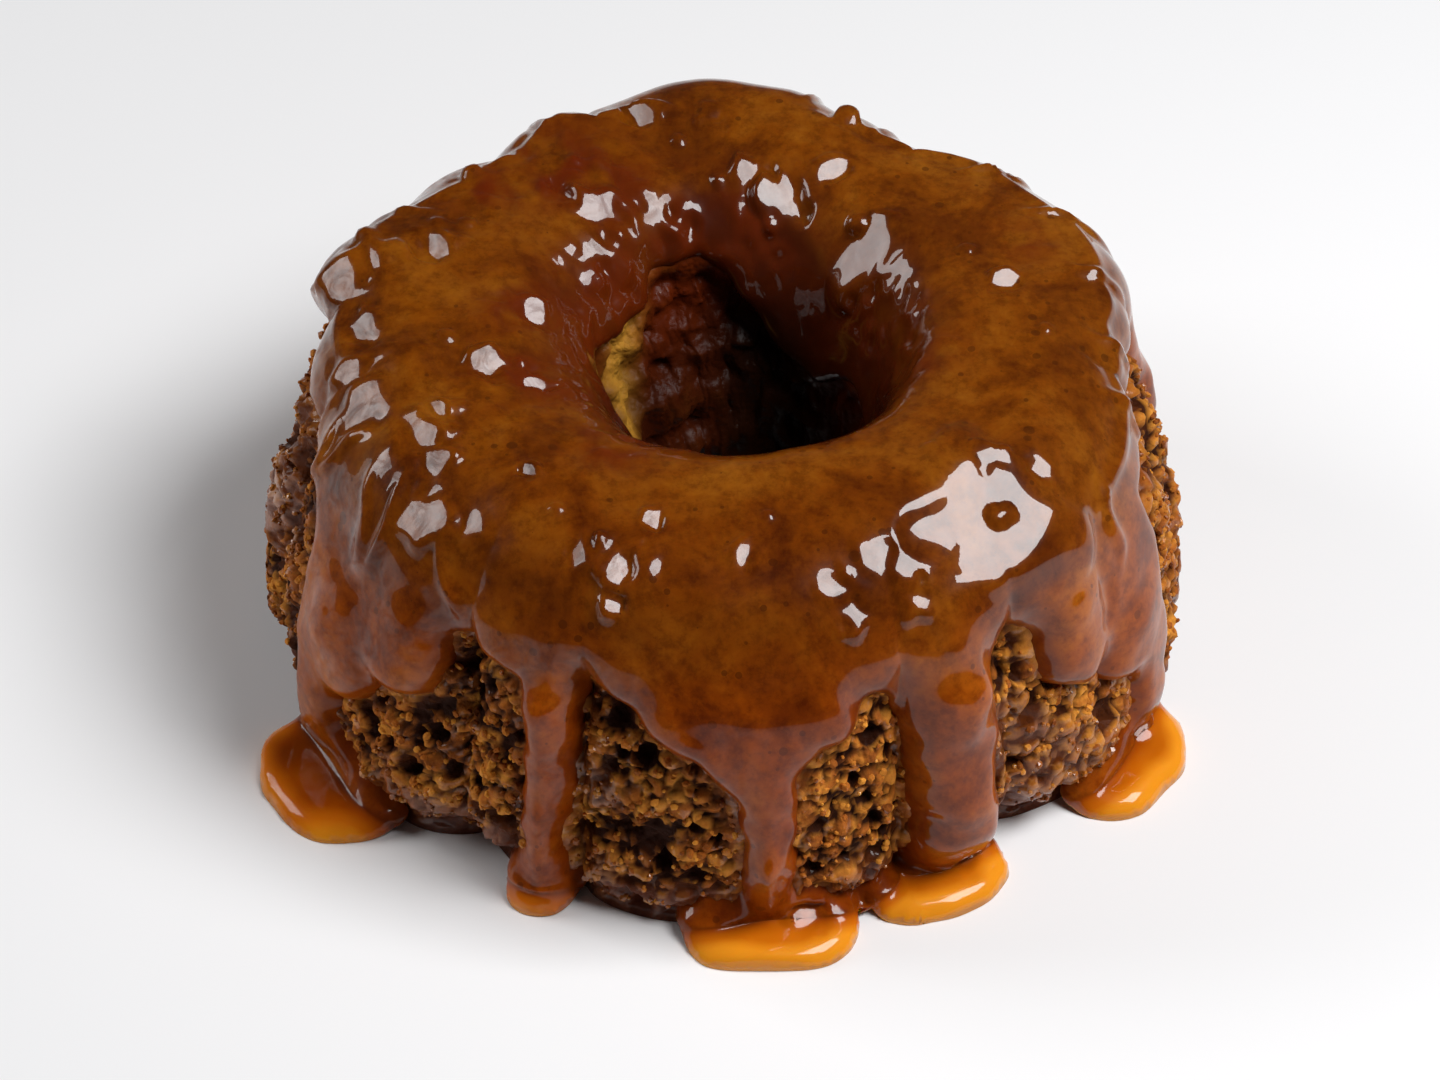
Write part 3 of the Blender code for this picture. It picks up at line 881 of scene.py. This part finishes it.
# Places where the coat is thin and porous over the crumb: angle, along, half width, strength
porousPatches = withLengths(
    (1, 2),
    (-141, 5.5, 8, 1.6),
    (-128, 9, 4, 1.4),
    (-150, -1.5, 6, 1.2),
    (-68, -4.5, 6, 1.2),
    (-30, -4, 5, 1.2),
    (-95, -5, 5, 1.2),
    (-160, -9, 7, 1),
    (-130, -10, 7, 1.1),
    (-100, -11, 6, 1),
    (172, -8, 6, 0.9),
    (120, -12, 6, 0.9),
    (98, -10, 5, 0.9),
    (76, -6, 5, 0.8),
    (110, 9, 4, 0.9),
)


def porousShare(points, angle, along):
    share = np.zeros_like(along)
    for patchAngle, patchAlong, halfWidth, strength in porousPatches:
        sideways = roundAxis(points, angle, patchAngle)
        near = bell(np.hypot(sideways, along - patchAlong) / halfWidth)
        share = np.maximum(share, strength * near)
    return share * smoothStep(0.75 + 1.5 * noiseOver(points, 3.5 * mm, 43.0))


def surfaceWaves(points, angle, along):
    # slow waves everywhere, ripples where the crumb shows through, mostly on the left, folds and drops
    height, size, seed = caramel["wave"]
    lift = height * noiseOver(points, size, seed)
    height, size, seed = caramel["ripple"]
    left = smoothStep(0.5 - points[..., 0] / (45 * mm))
    rippled = caramel["calmRipple"] + (1 - caramel["calmRipple"]) * left
    lift = lift + height * rippled * noiseOver(points, size, seed)
    height, size, seed = caramel["pores"]
    lift = lift + height * porousShare(points, angle, along) * noiseOver(points, size, seed)
    stray = 4 * noiseOver(points, 7 * mm, 31.0)
    for foldAngle, begin, end, drift, height in folds:
        share = (along - begin) / (end - begin)
        sideways = roundWall(angle, foldAngle + drift * share + stray)
        ridge = bell(sideways / caramel["foldWidth"])
        ends = smoothStep(share * 3) * smoothStep((1 - share) * 3)
        lift = lift + height * ridge * ends
    for begin, end, place, drift, height in wrinkles:
        share = turnBetween(angle, begin) / (end - begin)
        ridge = bell((along - place - drift * share - 0.3 * mm * stray) / caramel["wrinkleWidth"])
        lift = lift + height * ridge * smoothStep(share * 4) * smoothStep((1 - share) * 4)
    uneven = noiseOver(points, 3.4 * mm, 33.0)
    for beadAngle, aboveFoot, halfWidth, height in beads:
        sideways = roundWall(angle, beadAngle)
        upwards = outerLength - along - aboveFoot
        apart = np.hypot(sideways, upwards) / halfWidth + 0.35 * uneven
        lift = lift + height * bell(np.clip(apart, 0, None))
    return lift


# Bubbles: angle, along, radius, height
bubbles = withLengths(
    (1, 2, 3),
    (158, 11, 1.6, 2.1),
    (45.6, 15.3, 0.9, 0.5),
    (-131, 11.5, 1.3, 1),
    (43.5, 15.6, 1.2, 0.7),
    (141, -5.5, 1.2, 0.8),
    (44, 4.5, 0.9, 0.45),
    (-118, 6, 1.1, 0.6),
    (-170, 3, 1, 0.55),
    (86, 9, 0.9, 0.45),
    (-30, 9.5, 0.9, 0.45),
    (112, 1, 1, 0.5),
    (-83, 4, 1.2, 0.6),
    (8, 5.5, 0.8, 0.4),
)


def nearestPoint(angle, along, wantedAngle, wantedAlong):
    miss = np.radians(turnBetween(angle, wantedAngle)) * 30 * mm
    return np.unravel_index(np.argmin(np.hypot(miss, along - wantedAlong)), angle.shape)


def raiseBubbles(top, out, angle, along):
    for bubbleAngle, bubbleAlong, radius, height in bubbles:
        middle = nearestPoint(angle, along, bubbleAngle, bubbleAlong)
        apart = np.linalg.norm(top - top[middle], axis=-1) / radius
        near = apart < 1
        top[near] += out[near] * (height * np.sqrt(1 - apart[near] ** 2))[:, None]


def flattenFacets(top, out, angle, along):
    # levels each flat spot to the plane that mirrors its light towards the camera
    eye = cameraPlace()
    for facetAngle, facetAlong, halfWidth, light in facets:
        centre = Vector(top[nearestPoint(angle, along, facetAngle, facetAlong)])
        facing = ((eye - centre).normalized() + (lightPlace(light) - centre).normalized()).normalized()
        apart = np.linalg.norm(top - np.array(centre), axis=-1)
        close = apart < 2 * halfWidth
        raggedSize = 0.55 * halfWidth + 0.9 * mm
        apart[close] *= 1 + caramel["facetRagged"] * noiseOver(top[close], raggedSize, 37.0)
        near = apart < halfWidth
        across = np.maximum(out[near] @ np.array(facing), 0.3)
        needed = ((np.array(centre) - top[near]) @ np.array(facing)) / across
        needed = np.clip(needed, -caramel["facetLimit"], caramel["facetLimit"])
        weight = smoothStep((1 - apart[near] / halfWidth) * 1.7)
        top[near] += out[near] * (needed * weight)[:, None]


def poolHeight(points):
    share, size, seed = pool["uneven"]
    return pool["height"] * (1 + share * noiseOver(points, size, seed))


def skinHeight(points, angle, along, inside):
    # the height of the skin's top over its bed, from how far each place is inside the rim
    table = tableShare(along)
    rim = caramel["rim"] * (1 - table)
    full = coatThickness(points, angle, along) * (1 - table) + poolHeight(points) * table
    inHole = smoothStep(-along / (8 * mm))
    edge = (pour["edge"] + pour["holeEdge"] * inHole) * (1 - table) + pool["edge"] * table
    across = 1 - np.clip((inside - rim) / edge, 0, 1)
    body = smoothStep(inside / (3 * mm)) * (1 - table)
    top = (full + surfaceWaves(points, angle, along) * body) * np.sqrt(1 - across**2)
    onWall = smoothStep(along / (0.5 * outerLength)) * (1 - table)
    filled = np.clip(ring["lobeSwell"] - flutes(angle), 0, ring["lobeSwell"]) * onWall
    filled = filled * smoothStep(inside / pour["fillWidth"])
    top = top + pour["creaseFill"] * (1 + np.cos(np.radians(angle))) / 2 * filled
    sink = caramel["sink"] * (1 - table)
    dip = -sink * (1 - np.clip(inside / np.maximum(rim, 1e-6), 0, 1))
    return np.where(inside < rim, dip, top), sink, table


def neighbours(kept):
    # the grid as seen by each point's eight neighbours and itself
    padded = np.pad(kept, ((0, 0), (1, 1)))
    rows = kept.shape[1]
    return {(column, row): np.roll(padded, -column, axis=0)[:, 1 + row:1 + row + rows]
            for column in (-1, 0, 1) for row in (-1, 0, 1)}


def closeGaps(kept):
    # fills the gaps one grid line wide, where the caramel would only touch itself
    for _ in range(caramel["gapRounds"]):
        near = neighbours(kept)
        moved = np.any(list(near.values()), axis=0) & ~kept
        nearMoved = neighbours(moved)
        quad = {(c, r): near[c, 0] | near[0, r] | near[c, r] for c in (-1, 1) for r in (-1, 1)}
        touching = (quad[1, 1] == quad[-1, -1]) & (quad[1, -1] == quad[-1, 1])
        for side in ((1, 0), (-1, 0), (0, 1), (0, -1)):
            beside = [quad[side[0] or c, side[1] or c] for c in (-1, 1)]
            touching |= nearMoved[side] & beside[0] & beside[1]
        kept = kept | (moved & touching)
    return kept, np.any(list(neighbours(kept).values()), axis=0) & ~kept


def snapToRim(angle, along, insideAt):
    # moves the grid's points that lie just outside the caramel onto its rim, and says which ones stay
    kept, moved = closeGaps(insideAt(angle, along) >= 0)
    column, row = np.nonzero(moved)
    startAngle, startAlong = angle[column, row], along[column, row]
    atAngle, atAlong = startAngle.copy(), startAlong.copy()
    degree = 1 / (math.radians(1) * ring["sideRadius"])  # degrees for a metre round the wall
    step, limit, share = caramel["snapStep"], caramel["snapLimit"], caramel["snapShare"]
    for _ in range(caramel["snapRounds"]):
        here = insideAt(atAngle, atAlong)
        slopeAngle = (insideAt(atAngle + step * degree, atAlong) - here) / step
        slopeAlong = (insideAt(atAngle, atAlong + step) - here) / step
        size = np.maximum(slopeAngle**2 + slopeAlong**2, 0.05)
        atAngle = atAngle - here * slopeAngle / size * degree
        atAlong = atAlong - here * slopeAlong / size
        atAngle = startAngle + np.clip(atAngle - startAngle, -limit * degree, limit * degree)
        atAlong = startAlong + np.clip(atAlong - startAlong, -limit, limit)
    angle[column, row] = startAngle + share * (atAngle - startAngle)
    along[column, row] = startAlong + share * (atAlong - startAlong)
    return kept | moved, moved


def roundFoot(top, along, inside):
    # rounds the corner where the wall's caramel runs out on the table
    weight = 0.5 * bell((along - outerLength) / caramel["footWidth"])
    weight = weight * smoothStep((inside - 0.2 * mm) / (0.8 * mm))
    for _ in range(caramel["footRounds"]):
        between = (np.roll(top, 1, axis=1) + np.roll(top, -1, axis=1)) / 2
        top += weight[..., None] * (between - top)


def caramelFinish(bed, angle, along, inside, table):
    # what the caramel's material reads
    x = bed[..., 0]
    onCake = 1 - table
    past = np.clip((along - outerLength) / (6 * mm), 0, 1)
    rimNear = 1 - np.clip(inside / (3 * mm), 0, 1)
    amber = 0.08 + 0.62 * past + 0.5 * rimNear * past + 0.2 * noiseOver(bed, 5 * mm, 95.0)
    # painted shade: the left pool is painted the darkest
    amber = amber - 0.34 * bell(turnBetween(angle, pools[0][1]) / 16)  # the left pool is the darkest
    # painted light: the caramel in the hole keeps less of its dark colour on the right, against the shadow
    # there
    holeRightLight = 1 - 0.45 * smoothStep((x - 6 * mm) / (8 * mm))
    return {
        "amber": np.clip(table * amber, 0, 1),
        "onTable": table,
        # painted light: the caramel down the walls is painted lighter, standing in for light thrown up from the
        # table
        "paintedWallLight": smoothStep((along - 17 * mm) / (14 * mm)),
        "thin": (1 - np.clip(inside / (2.2 * mm), 0, 1)) * onCake,
        "inHole": smoothStep((-2 * mm - along) / (8 * mm)) * holeRightLight,
        "redShade": redShadeAt(angle, along),
        # painted shade: the caramel deep in the hole is painted near black
        "deep": holeShadeAt(bed) * smoothStep((-along - 4 * mm) / (5 * mm)),
        "porous": porousShare(bed, angle, along),
        "streaky": 0.12 + 0.88 * smoothStep(0.5 - x / (56 * mm)),
        "side": smoothStep((np.abs(x) - 33 * mm) / (12 * mm)) * onCake,
        # painted shade: the front of the crown and the wall below it are painted darker
        "front": bell(turnBetween(angle, 0) / 48) * smoothStep((along + 3 * mm) / (9 * mm)) * onCake,
    }


def makeCaramel():
    columns, rows = caramel["columns"], caramel["rows"]
    lines = np.linspace(outerLength + pool["spread"], caramel["lastLine"], rows)
    angle, along = np.meshgrid(np.linspace(-180, 180, columns, endpoint=False), lines, indexing="ij")

    def insideAt(atAngle, atAlong):
        points, _ = ringPoints(atAngle, atAlong, True)
        return fullMargin(atAngle, atAlong, points) + caramel["rim"] * (1 - tableShare(atAlong))

    kept, moved = snapToRim(angle, along, insideAt)
    bed, out = ringPoints(angle, along, True)
    inside = np.where(moved, 0.0, np.maximum(insideAt(angle, along), caramel["thinnest"]))
    height, sink, table = skinHeight(bed, angle, along, inside)
    top = bed + out * height[..., None]
    roundFoot(top, along, inside)
    flattenFacets(top, out, angle, along)
    raiseBubbles(top, out, angle, along)
    under = bed - out * sink[..., None]
    for side in (top, under):
        side[..., 2] = np.maximum(side[..., 2], pool["floorLift"])
    top[moved] = under[moved]
    piece = gridRound("caramel", insideBox(np.concatenate([top, under[:, ::-1]], axis=1)))

    def bothSides(values):
        return np.concatenate([values, values[:, ::-1]], axis=1)

    for name, values in caramelFinish(bed, angle, along, inside, table).items():
        addAttribute(piece, name, bothSides(values))
    underside = piece.vertex_groups.new(name="underside")
    hidden = np.concatenate([np.zeros_like(inside), (inside > caramel["undersideStart"])[:, ::-1]], axis=1)
    underside.add(np.nonzero(onGrid(hidden) > 0.5)[0].tolist(), 1.0, "REPLACE")
    trimRim(piece, onGrid(bothSides(~kept)) > 0.5, onGrid(bothSides(moved)) > 0.5)
    joinSeams(piece)
    thin = piece.modifiers.new("thinUnderside", "DECIMATE")
    thin.ratio = caramel["undersideShare"]
    thin.vertex_group = "underside"
    bpy.ops.object.modifier_apply(modifier=thin.name)
    return piece


# Materials

def newMaterial(name):
    material = bpy.data.materials.new(name)
    material.use_nodes = True
    return material, material.node_tree, material.node_tree.nodes["Principled BSDF"]


def setOrLink(tree, socket, value):
    if isinstance(value, bpy.types.NodeSocket):
        tree.links.new(value, socket)
    else:
        socket.default_value = value


def addNode(tree, kind, **settings):
    node = tree.nodes.new("ShaderNode" + kind)
    for key, value in settings.items():
        if key in node.inputs:
            node.inputs[key].default_value = value
        else:
            setattr(node, key, value)
    return node


def patternOf(tree, kind, settings):
    # a noise or a cell pattern that stays on the piece
    place = tree.nodes.get("Texture Coordinate") or addNode(tree, "TexCoord")
    node = addNode(tree, kind, **settings)
    tree.links.new(place.outputs["Object"], node.inputs["Vector"])
    return node.outputs["Fac" if kind == "TexNoise" else "Distance"]


def rampOf(tree, amount, stops):
    node = addNode(tree, "ValToRGB")
    elements = node.color_ramp.elements
    while len(elements) > 1:
        elements.remove(elements[-1])
    elements[0].position, elements[0].color = stops[0][0], (*stops[0][1], 1)
    for place, colour in stops[1:]:
        elements.new(place).color = (*colour, 1)
    tree.links.new(amount, node.inputs["Fac"])
    return node.outputs["Color"]


def attributeOf(tree, name):
    return addNode(tree, "Attribute", attribute_name=name).outputs["Fac"]


def mixColour(tree, share, first, second, blend="MIX"):
    node = addNode(tree, "Mix", data_type="RGBA", blend_type=blend)
    for number, value in ((0, share), (6, first), (7, second)):
        setOrLink(tree, node.inputs[number], value)
    return node.outputs[2]


def mathOf(tree, operation, *values):
    node = addNode(tree, "Math", operation=operation)
    node.use_clamp = operation in ("MULTIPLY_ADD", "ADD", "SUBTRACT", "MULTIPLY")
    for socket, value in zip(node.inputs, values):
        setOrLink(tree, socket, value)
    return node.outputs[0]


def coverBy(tree, colour, name, strength, cover):
    # lays another colour over, by one of the piece's attributes
    share = mathOf(tree, "MULTIPLY", attributeOf(tree, name), strength)
    return mixColour(tree, share, colour, (*cover, 1))


def tintBy(tree, colour, name, tint):
    # multiplies the colour, by one of the piece's attributes
    tinted = mixColour(tree, 1.0, colour, (*tint, 1), "MULTIPLY")
    return mixColour(tree, attributeOf(tree, name), colour, tinted)


def addBump(tree, shader, height, settings):
    bump = addNode(tree, "Bump", **settings)
    tree.links.new(height, bump.inputs["Height"])
    tree.links.new(bump.outputs["Normal"], shader.inputs["Normal"])


def setSurface(shader, surface):
    for name, value in surface.items():
        shader.inputs[name].default_value = value


def grey(value):
    return value, value, value


caramelLook = {
    "deep": (0.100, 0.020, 0.0008),
    "body": (0.170, 0.040, 0.0012),
    "light": (0.225, 0.066, 0.0035),
    "thin": (0.095, 0.015, 0.002),
    "speck": (0.05, 0.011, 0.001),
    "poolStops": (
        (0.0, (0.10, 0.014, 0.001)), (0.38, (0.34, 0.06, 0.001)),
        (0.72, (0.57, 0.138, 0.003)), (0.98, (0.80, 0.28, 0.012)),
    ),
    "covers": (  # attribute, strength, colour
        # the red cover: dark red deeper in the hole, partly the caramel's own colour and partly painted shade
        ("redShade", 0.8, (0.042, 0.0045, 0.001)),
        # the deep cover is painted shade, near black deep in the hole
        ("deep", 0.93, (0.012, 0.003, 0.001)),
        ("porous", 0.8, (0.11, 0.014, 0.0015)),
    ),
    # painted light and shade: the walls painted lighter, and the front of the crown painted darker
    "lightAndShadeTints": (("paintedWallLight", (1.8, 1.55, 1.25)), ("front", (0.84, 0.70, 0.5))),
    "thinStrength": 0.55,
    "holeStrength": 0.8,
    "broad": {"Scale": 95.0, "Detail": 5.0, "Roughness": 0.62, "Distortion": 0.6},
    "mottle": {"Scale": 560.0, "Detail": 5.0, "Roughness": 0.72},
    "mottleStops": ((0.36, (0.6, 0.52, 0.46)), (0.52, grey(0.97)), (0.66, (1.15, 1.2, 1.2))),
    "mottleStrength": 0.85,
    "specks": {"Scale": 420.0},
    "speckSpread": {"Scale": 130.0, "Detail": 2.0},
    "speckReach": (0.9, -0.36),
    "speckStrength": 0.55,
    "dimples": {"Scale": 240.0, "Detail": 2.0, "Roughness": 0.5},
    "bump": {"Strength": 0.22, "Distance": 0.0006},
    "streaks": {"Scale": 330.0, "Detail": 4.0, "Roughness": 0.62, "Distortion": 1.4},
    "streakStops": ((0.38, grey(0.35)), (0.60, grey(1.0))),
    "dullWall": -0.24,
    "dullSide": -0.2,
    "surface": {
        "Roughness": 0.3, "IOR": 1.5, "Specular IOR Level": 0.05, "Coat Roughness": 0.03, "Coat IOR": 1.44,
        "Subsurface Weight": 0.25, "Subsurface Radius": (1.0, 0.35, 0.06), "Subsurface Scale": 0.0022,
    },
}


def caramelColour(tree, look):
    tones = rampOf(tree, patternOf(tree, "TexNoise", look["broad"]),
                   ((0.36, look["deep"]), (0.5, look["body"]), (0.66, look["light"])))
    mottle = rampOf(tree, patternOf(tree, "TexNoise", look["mottle"]), look["mottleStops"])
    colour = mixColour(tree, look["mottleStrength"], tones, mottle, "MULTIPLY")
    spread = patternOf(tree, "TexNoise", look["speckSpread"])
    reach = mathOf(tree, "MULTIPLY_ADD", spread, *look["speckReach"])
    specks = mathOf(tree, "LESS_THAN", patternOf(tree, "TexVoronoi", look["specks"]), reach)
    specks = mathOf(tree, "MULTIPLY", specks, look["speckStrength"])
    colour = mixColour(tree, specks, colour, (*look["speck"], 1))
    thin = mathOf(tree, "MULTIPLY", attributeOf(tree, "thin"), look["thinStrength"])
    inHole = mathOf(tree, "MULTIPLY", attributeOf(tree, "inHole"), look["holeStrength"])
    colour = mixColour(tree, mathOf(tree, "MAXIMUM", thin, inHole), colour, (*look["thin"], 1))
    for name, strength, cover in look["covers"]:
        colour = coverBy(tree, colour, name, strength, cover)
    for name, tint in look["lightAndShadeTints"]:
        colour = tintBy(tree, colour, name, tint)
    poolTones = rampOf(tree, attributeOf(tree, "amber"), look["poolStops"])
    return mixColour(tree, attributeOf(tree, "onTable"), colour, poolTones)


def makeCaramelMaterial():
    look = caramelLook
    material, tree, shader = newMaterial("pouredCaramel")
    tree.links.new(caramelColour(tree, look), shader.inputs["Base Color"])
    addBump(tree, shader, patternOf(tree, "TexNoise", look["dimples"]), look["bump"])
    # the gloss is broken into streaks on the left, and duller down the walls
    streaks = rampOf(tree, patternOf(tree, "TexNoise", look["streaks"]), look["streakStops"])
    gloss = mixColour(tree, attributeOf(tree, "streaky"), (1, 1, 1, 1), streaks)
    dullWall = mathOf(tree, "MULTIPLY_ADD", attributeOf(tree, "paintedWallLight"), look["dullWall"], 1.0)
    dullSide = mathOf(tree, "MULTIPLY_ADD", attributeOf(tree, "side"), look["dullSide"], 1.0)
    gloss = mathOf(tree, "MULTIPLY", gloss, mathOf(tree, "MULTIPLY", dullWall, dullSide))
    tree.links.new(gloss, shader.inputs["Coat Weight"])
    setSurface(shader, look["surface"])
    return material


spongeLook = {
    "gold": (0.82, 0.335, 0.045),
    "brown": (0.43, 0.125, 0.0175),
    "dark": (0.10, 0.021, 0.0045),
    # painted shade: the colour down in the crumb's pits
    "pit": (0.028, 0.0065, 0.0018),
    "litStrip": (0.38, 0.2, 0.023),
    "litStripStrength": 0.75,
    # painted shade: the near black deep in the hole
    "holeShadeBlack": (0.012, 0.0035, 0.0012),
    "holeShadeStrength": 0.95,
    "covers": (  # attribute, strength, colour
        ("glaze", 0.62, (0.17, 0.038, 0.006)),
        ("low", 0.75, (0.125, 0.032, 0.016)),
        # the hole cover: dark red, partly the soaked crumb's own red and partly painted shade deeper in the
        # hole
        ("hole", 0.88, (0.075, 0.0085, 0.0012)),
    ),
    "grain": {"Scale": 900.0, "Detail": 5.0, "Roughness": 0.65},
    "broad": {"Scale": 150.0, "Detail": 3.0, "Roughness": 0.6},
    "toneShares": (0.45, 0.5, 0.6),  # of each crumb's own tone, the grain and the broad patches
    "toneLoss": 0.28,
    "pitShadeStops": ((0.2, grey(0)), (0.62, grey(1))),
    "spots": {"Scale": 620.0, "Detail": 2.0, "Roughness": 0.5},
    "spotStops": ((0.57, grey(0)), (0.63, grey(1))),
    "spotGloss": 0.75,
    "deepDry": 0.6,
    "pitDry": 0.75,
    "roughness": (-0.3, 0.62),  # change where glazed, and plain
    "crystals": {"Scale": 1250.0},
    "crystalHeight": -0.8,
    "glazeSmooth": -0.6,
    "bump": {"Strength": 0.75, "Distance": 0.0005},
    "surface": {
        "Specular IOR Level": 0.07, "Coat Roughness": 0.08,
        "Subsurface Weight": 0.08, "Subsurface Radius": (1.0, 0.5, 0.2), "Subsurface Scale": 0.001,
    },
}


def makeSpongeMaterial():
    look = spongeLook
    material, tree, shader = newMaterial("dateSponge")
    grain = patternOf(tree, "TexNoise", look["grain"])
    tone = 0.0
    sources = (attributeOf(tree, "tone"), grain, patternOf(tree, "TexNoise", look["broad"]))
    for source, share in zip(sources, look["toneShares"]):
        tone = mathOf(tree, "MULTIPLY_ADD", source, share, tone)
    tone = mathOf(tree, "SUBTRACT", tone, look["toneLoss"])
    tones = rampOf(tree, tone, ((0.18, look["dark"]), (0.45, look["brown"]), (0.78, look["gold"])))
    # painted shade: the crumb is painted darker down in its pits and clefts
    pitShade = rampOf(tree, attributeOf(tree, "pit"), look["pitShadeStops"])
    colour = mixColour(tree, pitShade, tones, (*look["pit"], 1))
    for name, strength, cover in look["covers"]:
        colour = coverBy(tree, colour, name, strength, cover)
    # painted light: the golden strip where the hole's steep left wall catches the light
    litStrip = mixColour(tree, look["litStripStrength"], tones, (*look["litStrip"], 1))
    colour = mixColour(tree, attributeOf(tree, "litStrip"), colour, litStrip)
    # painted shade: near black deep in the hole
    colour = coverBy(tree, colour, "deep", look["holeShadeStrength"], look["holeShadeBlack"])
    tree.links.new(colour, shader.inputs["Base Color"])
    # wet where caramel soaked in, with glossy spots elsewhere, and dry in the pits and deep in the hole
    spots = rampOf(tree, patternOf(tree, "TexNoise", look["spots"]), look["spotStops"])
    wet = mathOf(tree, "MULTIPLY_ADD", spots, look["spotGloss"], attributeOf(tree, "wet"))
    for source, share in ((attributeOf(tree, "deep"), look["deepDry"]), (pitShade, look["pitDry"])):
        wet = mathOf(tree, "SUBTRACT", wet, mathOf(tree, "MULTIPLY", source, share))
    tree.links.new(wet, shader.inputs["Coat Weight"])
    glaze = attributeOf(tree, "glaze")
    tree.links.new(mathOf(tree, "MULTIPLY_ADD", glaze, *look["roughness"]), shader.inputs["Roughness"])
    crystals = patternOf(tree, "TexVoronoi", look["crystals"])
    height = mathOf(tree, "MULTIPLY_ADD", crystals, look["crystalHeight"], grain)
    smooth = mathOf(tree, "MULTIPLY_ADD", glaze, look["glazeSmooth"], 1.0)
    addBump(tree, shader, mathOf(tree, "MULTIPLY", height, smooth), look["bump"])
    setSurface(shader, look["surface"])
    return material


# The table, the light and the camera

studio = {
    "elevation": 42.3,
    "distance": 620 * mm,
    "aim": (0, 0, 22 * mm),
    "focalPixels": 5667.0,
    "frame": (1440, 1080),
    "aimPixel": (726.0, 464.8),
    "tableSize": 1.1,
    "tableSurface": {"Base Color": (0.86, 0.86, 0.87, 1), "Roughness": 0.75},
    "world": 0.03,
    "lights": {  # direction from the cake, distance, size, power
        "main": ((0.52, -0.16, 0.84), 0.55, (0.31, 0.255), 3.6),
        "left": ((-0.85, 0.2, 0.5), 0.70, (0.35, 0.30), 2.1),
    },
    "lightAim": (0, 0, 25 * mm),
}


def lightPlace(name):
    direction, distance, _, _ = studio["lights"][name]
    return Vector(studio["lightAim"]) + Vector(direction).normalized() * distance


def cameraPlace():
    tilt = math.radians(studio["elevation"])
    return Vector(studio["aim"]) + Vector((0, -math.cos(tilt), math.sin(tilt))) * studio["distance"]


def makeTable():
    deselectAll()
    bpy.ops.mesh.primitive_plane_add(size=studio["tableSize"], location=(0, 0, -0.05 * mm))
    table = bpy.context.active_object
    table.name = "table"
    material, _, shader = newMaterial("paleTable")
    setSurface(shader, studio["tableSurface"])
    table.data.materials.append(material)


def addLight(name):
    _, _, size, power = studio["lights"][name]
    place = lightPlace(name)
    deselectAll()
    bpy.ops.object.light_add(type="AREA", location=place)
    light = bpy.context.active_object
    light.name = name + "Light"
    light.data.shape = "RECTANGLE"
    light.data.size, light.data.size_y = size
    light.data.energy = power
    light.rotation_euler = (Vector(studio["lightAim"]) - place).to_track_quat("-Z", "Y").to_euler()


def makeCamera():
    tilt = math.radians(studio["elevation"])
    deselectAll()
    bpy.ops.object.camera_add(location=cameraPlace(), rotation=(math.pi / 2 - tilt, 0, 0))
    camera = bpy.context.active_object
    camera.name = "camera"
    camera.data.sensor_width = 36
    width, height = studio["frame"]
    camera.data.lens = studio["focalPixels"] / width * 36
    camera.data.shift_x = (width / 2 - studio["aimPixel"][0]) / width
    camera.data.shift_y = (studio["aimPixel"][1] - height / 2) / width
    camera.data.clip_start = 0.01
    bpy.context.scene.camera = camera


def makeStudio():
    makeTable()
    for name in studio["lights"]:
        addLight(name)
    world = bpy.data.worlds.new("studio")
    bpy.context.scene.world = world
    world.use_nodes = True
    background = world.node_tree.nodes["Background"]
    background.inputs["Color"].default_value = (1, 1, 1, 1)
    background.inputs["Strength"].default_value = studio["world"]
    makeCamera()
    bpy.context.scene.view_settings.view_transform = "Standard"


def main():
    spongePiece, crumbPiece = makeSponge()
    spongeMaterial = makeSpongeMaterial()
    spongePiece.data.materials.append(spongeMaterial)
    crumbPiece.data.materials.append(spongeMaterial)
    print("sponge", len(spongePiece.data.polygons), "crumbs", len(crumbPiece.data.polygons))
    caramelPiece = makeCaramel()
    caramelPiece.data.materials.append(makeCaramelMaterial())
    print("caramel", len(caramelPiece.data.polygons))
    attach(spongePiece, "root")
    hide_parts("cake")
    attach(crumbPiece, "root")
    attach(caramelPiece, "root")
    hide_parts("caramel_coat", *[entry[0] for entry in pools])
    makeStudio()


main()
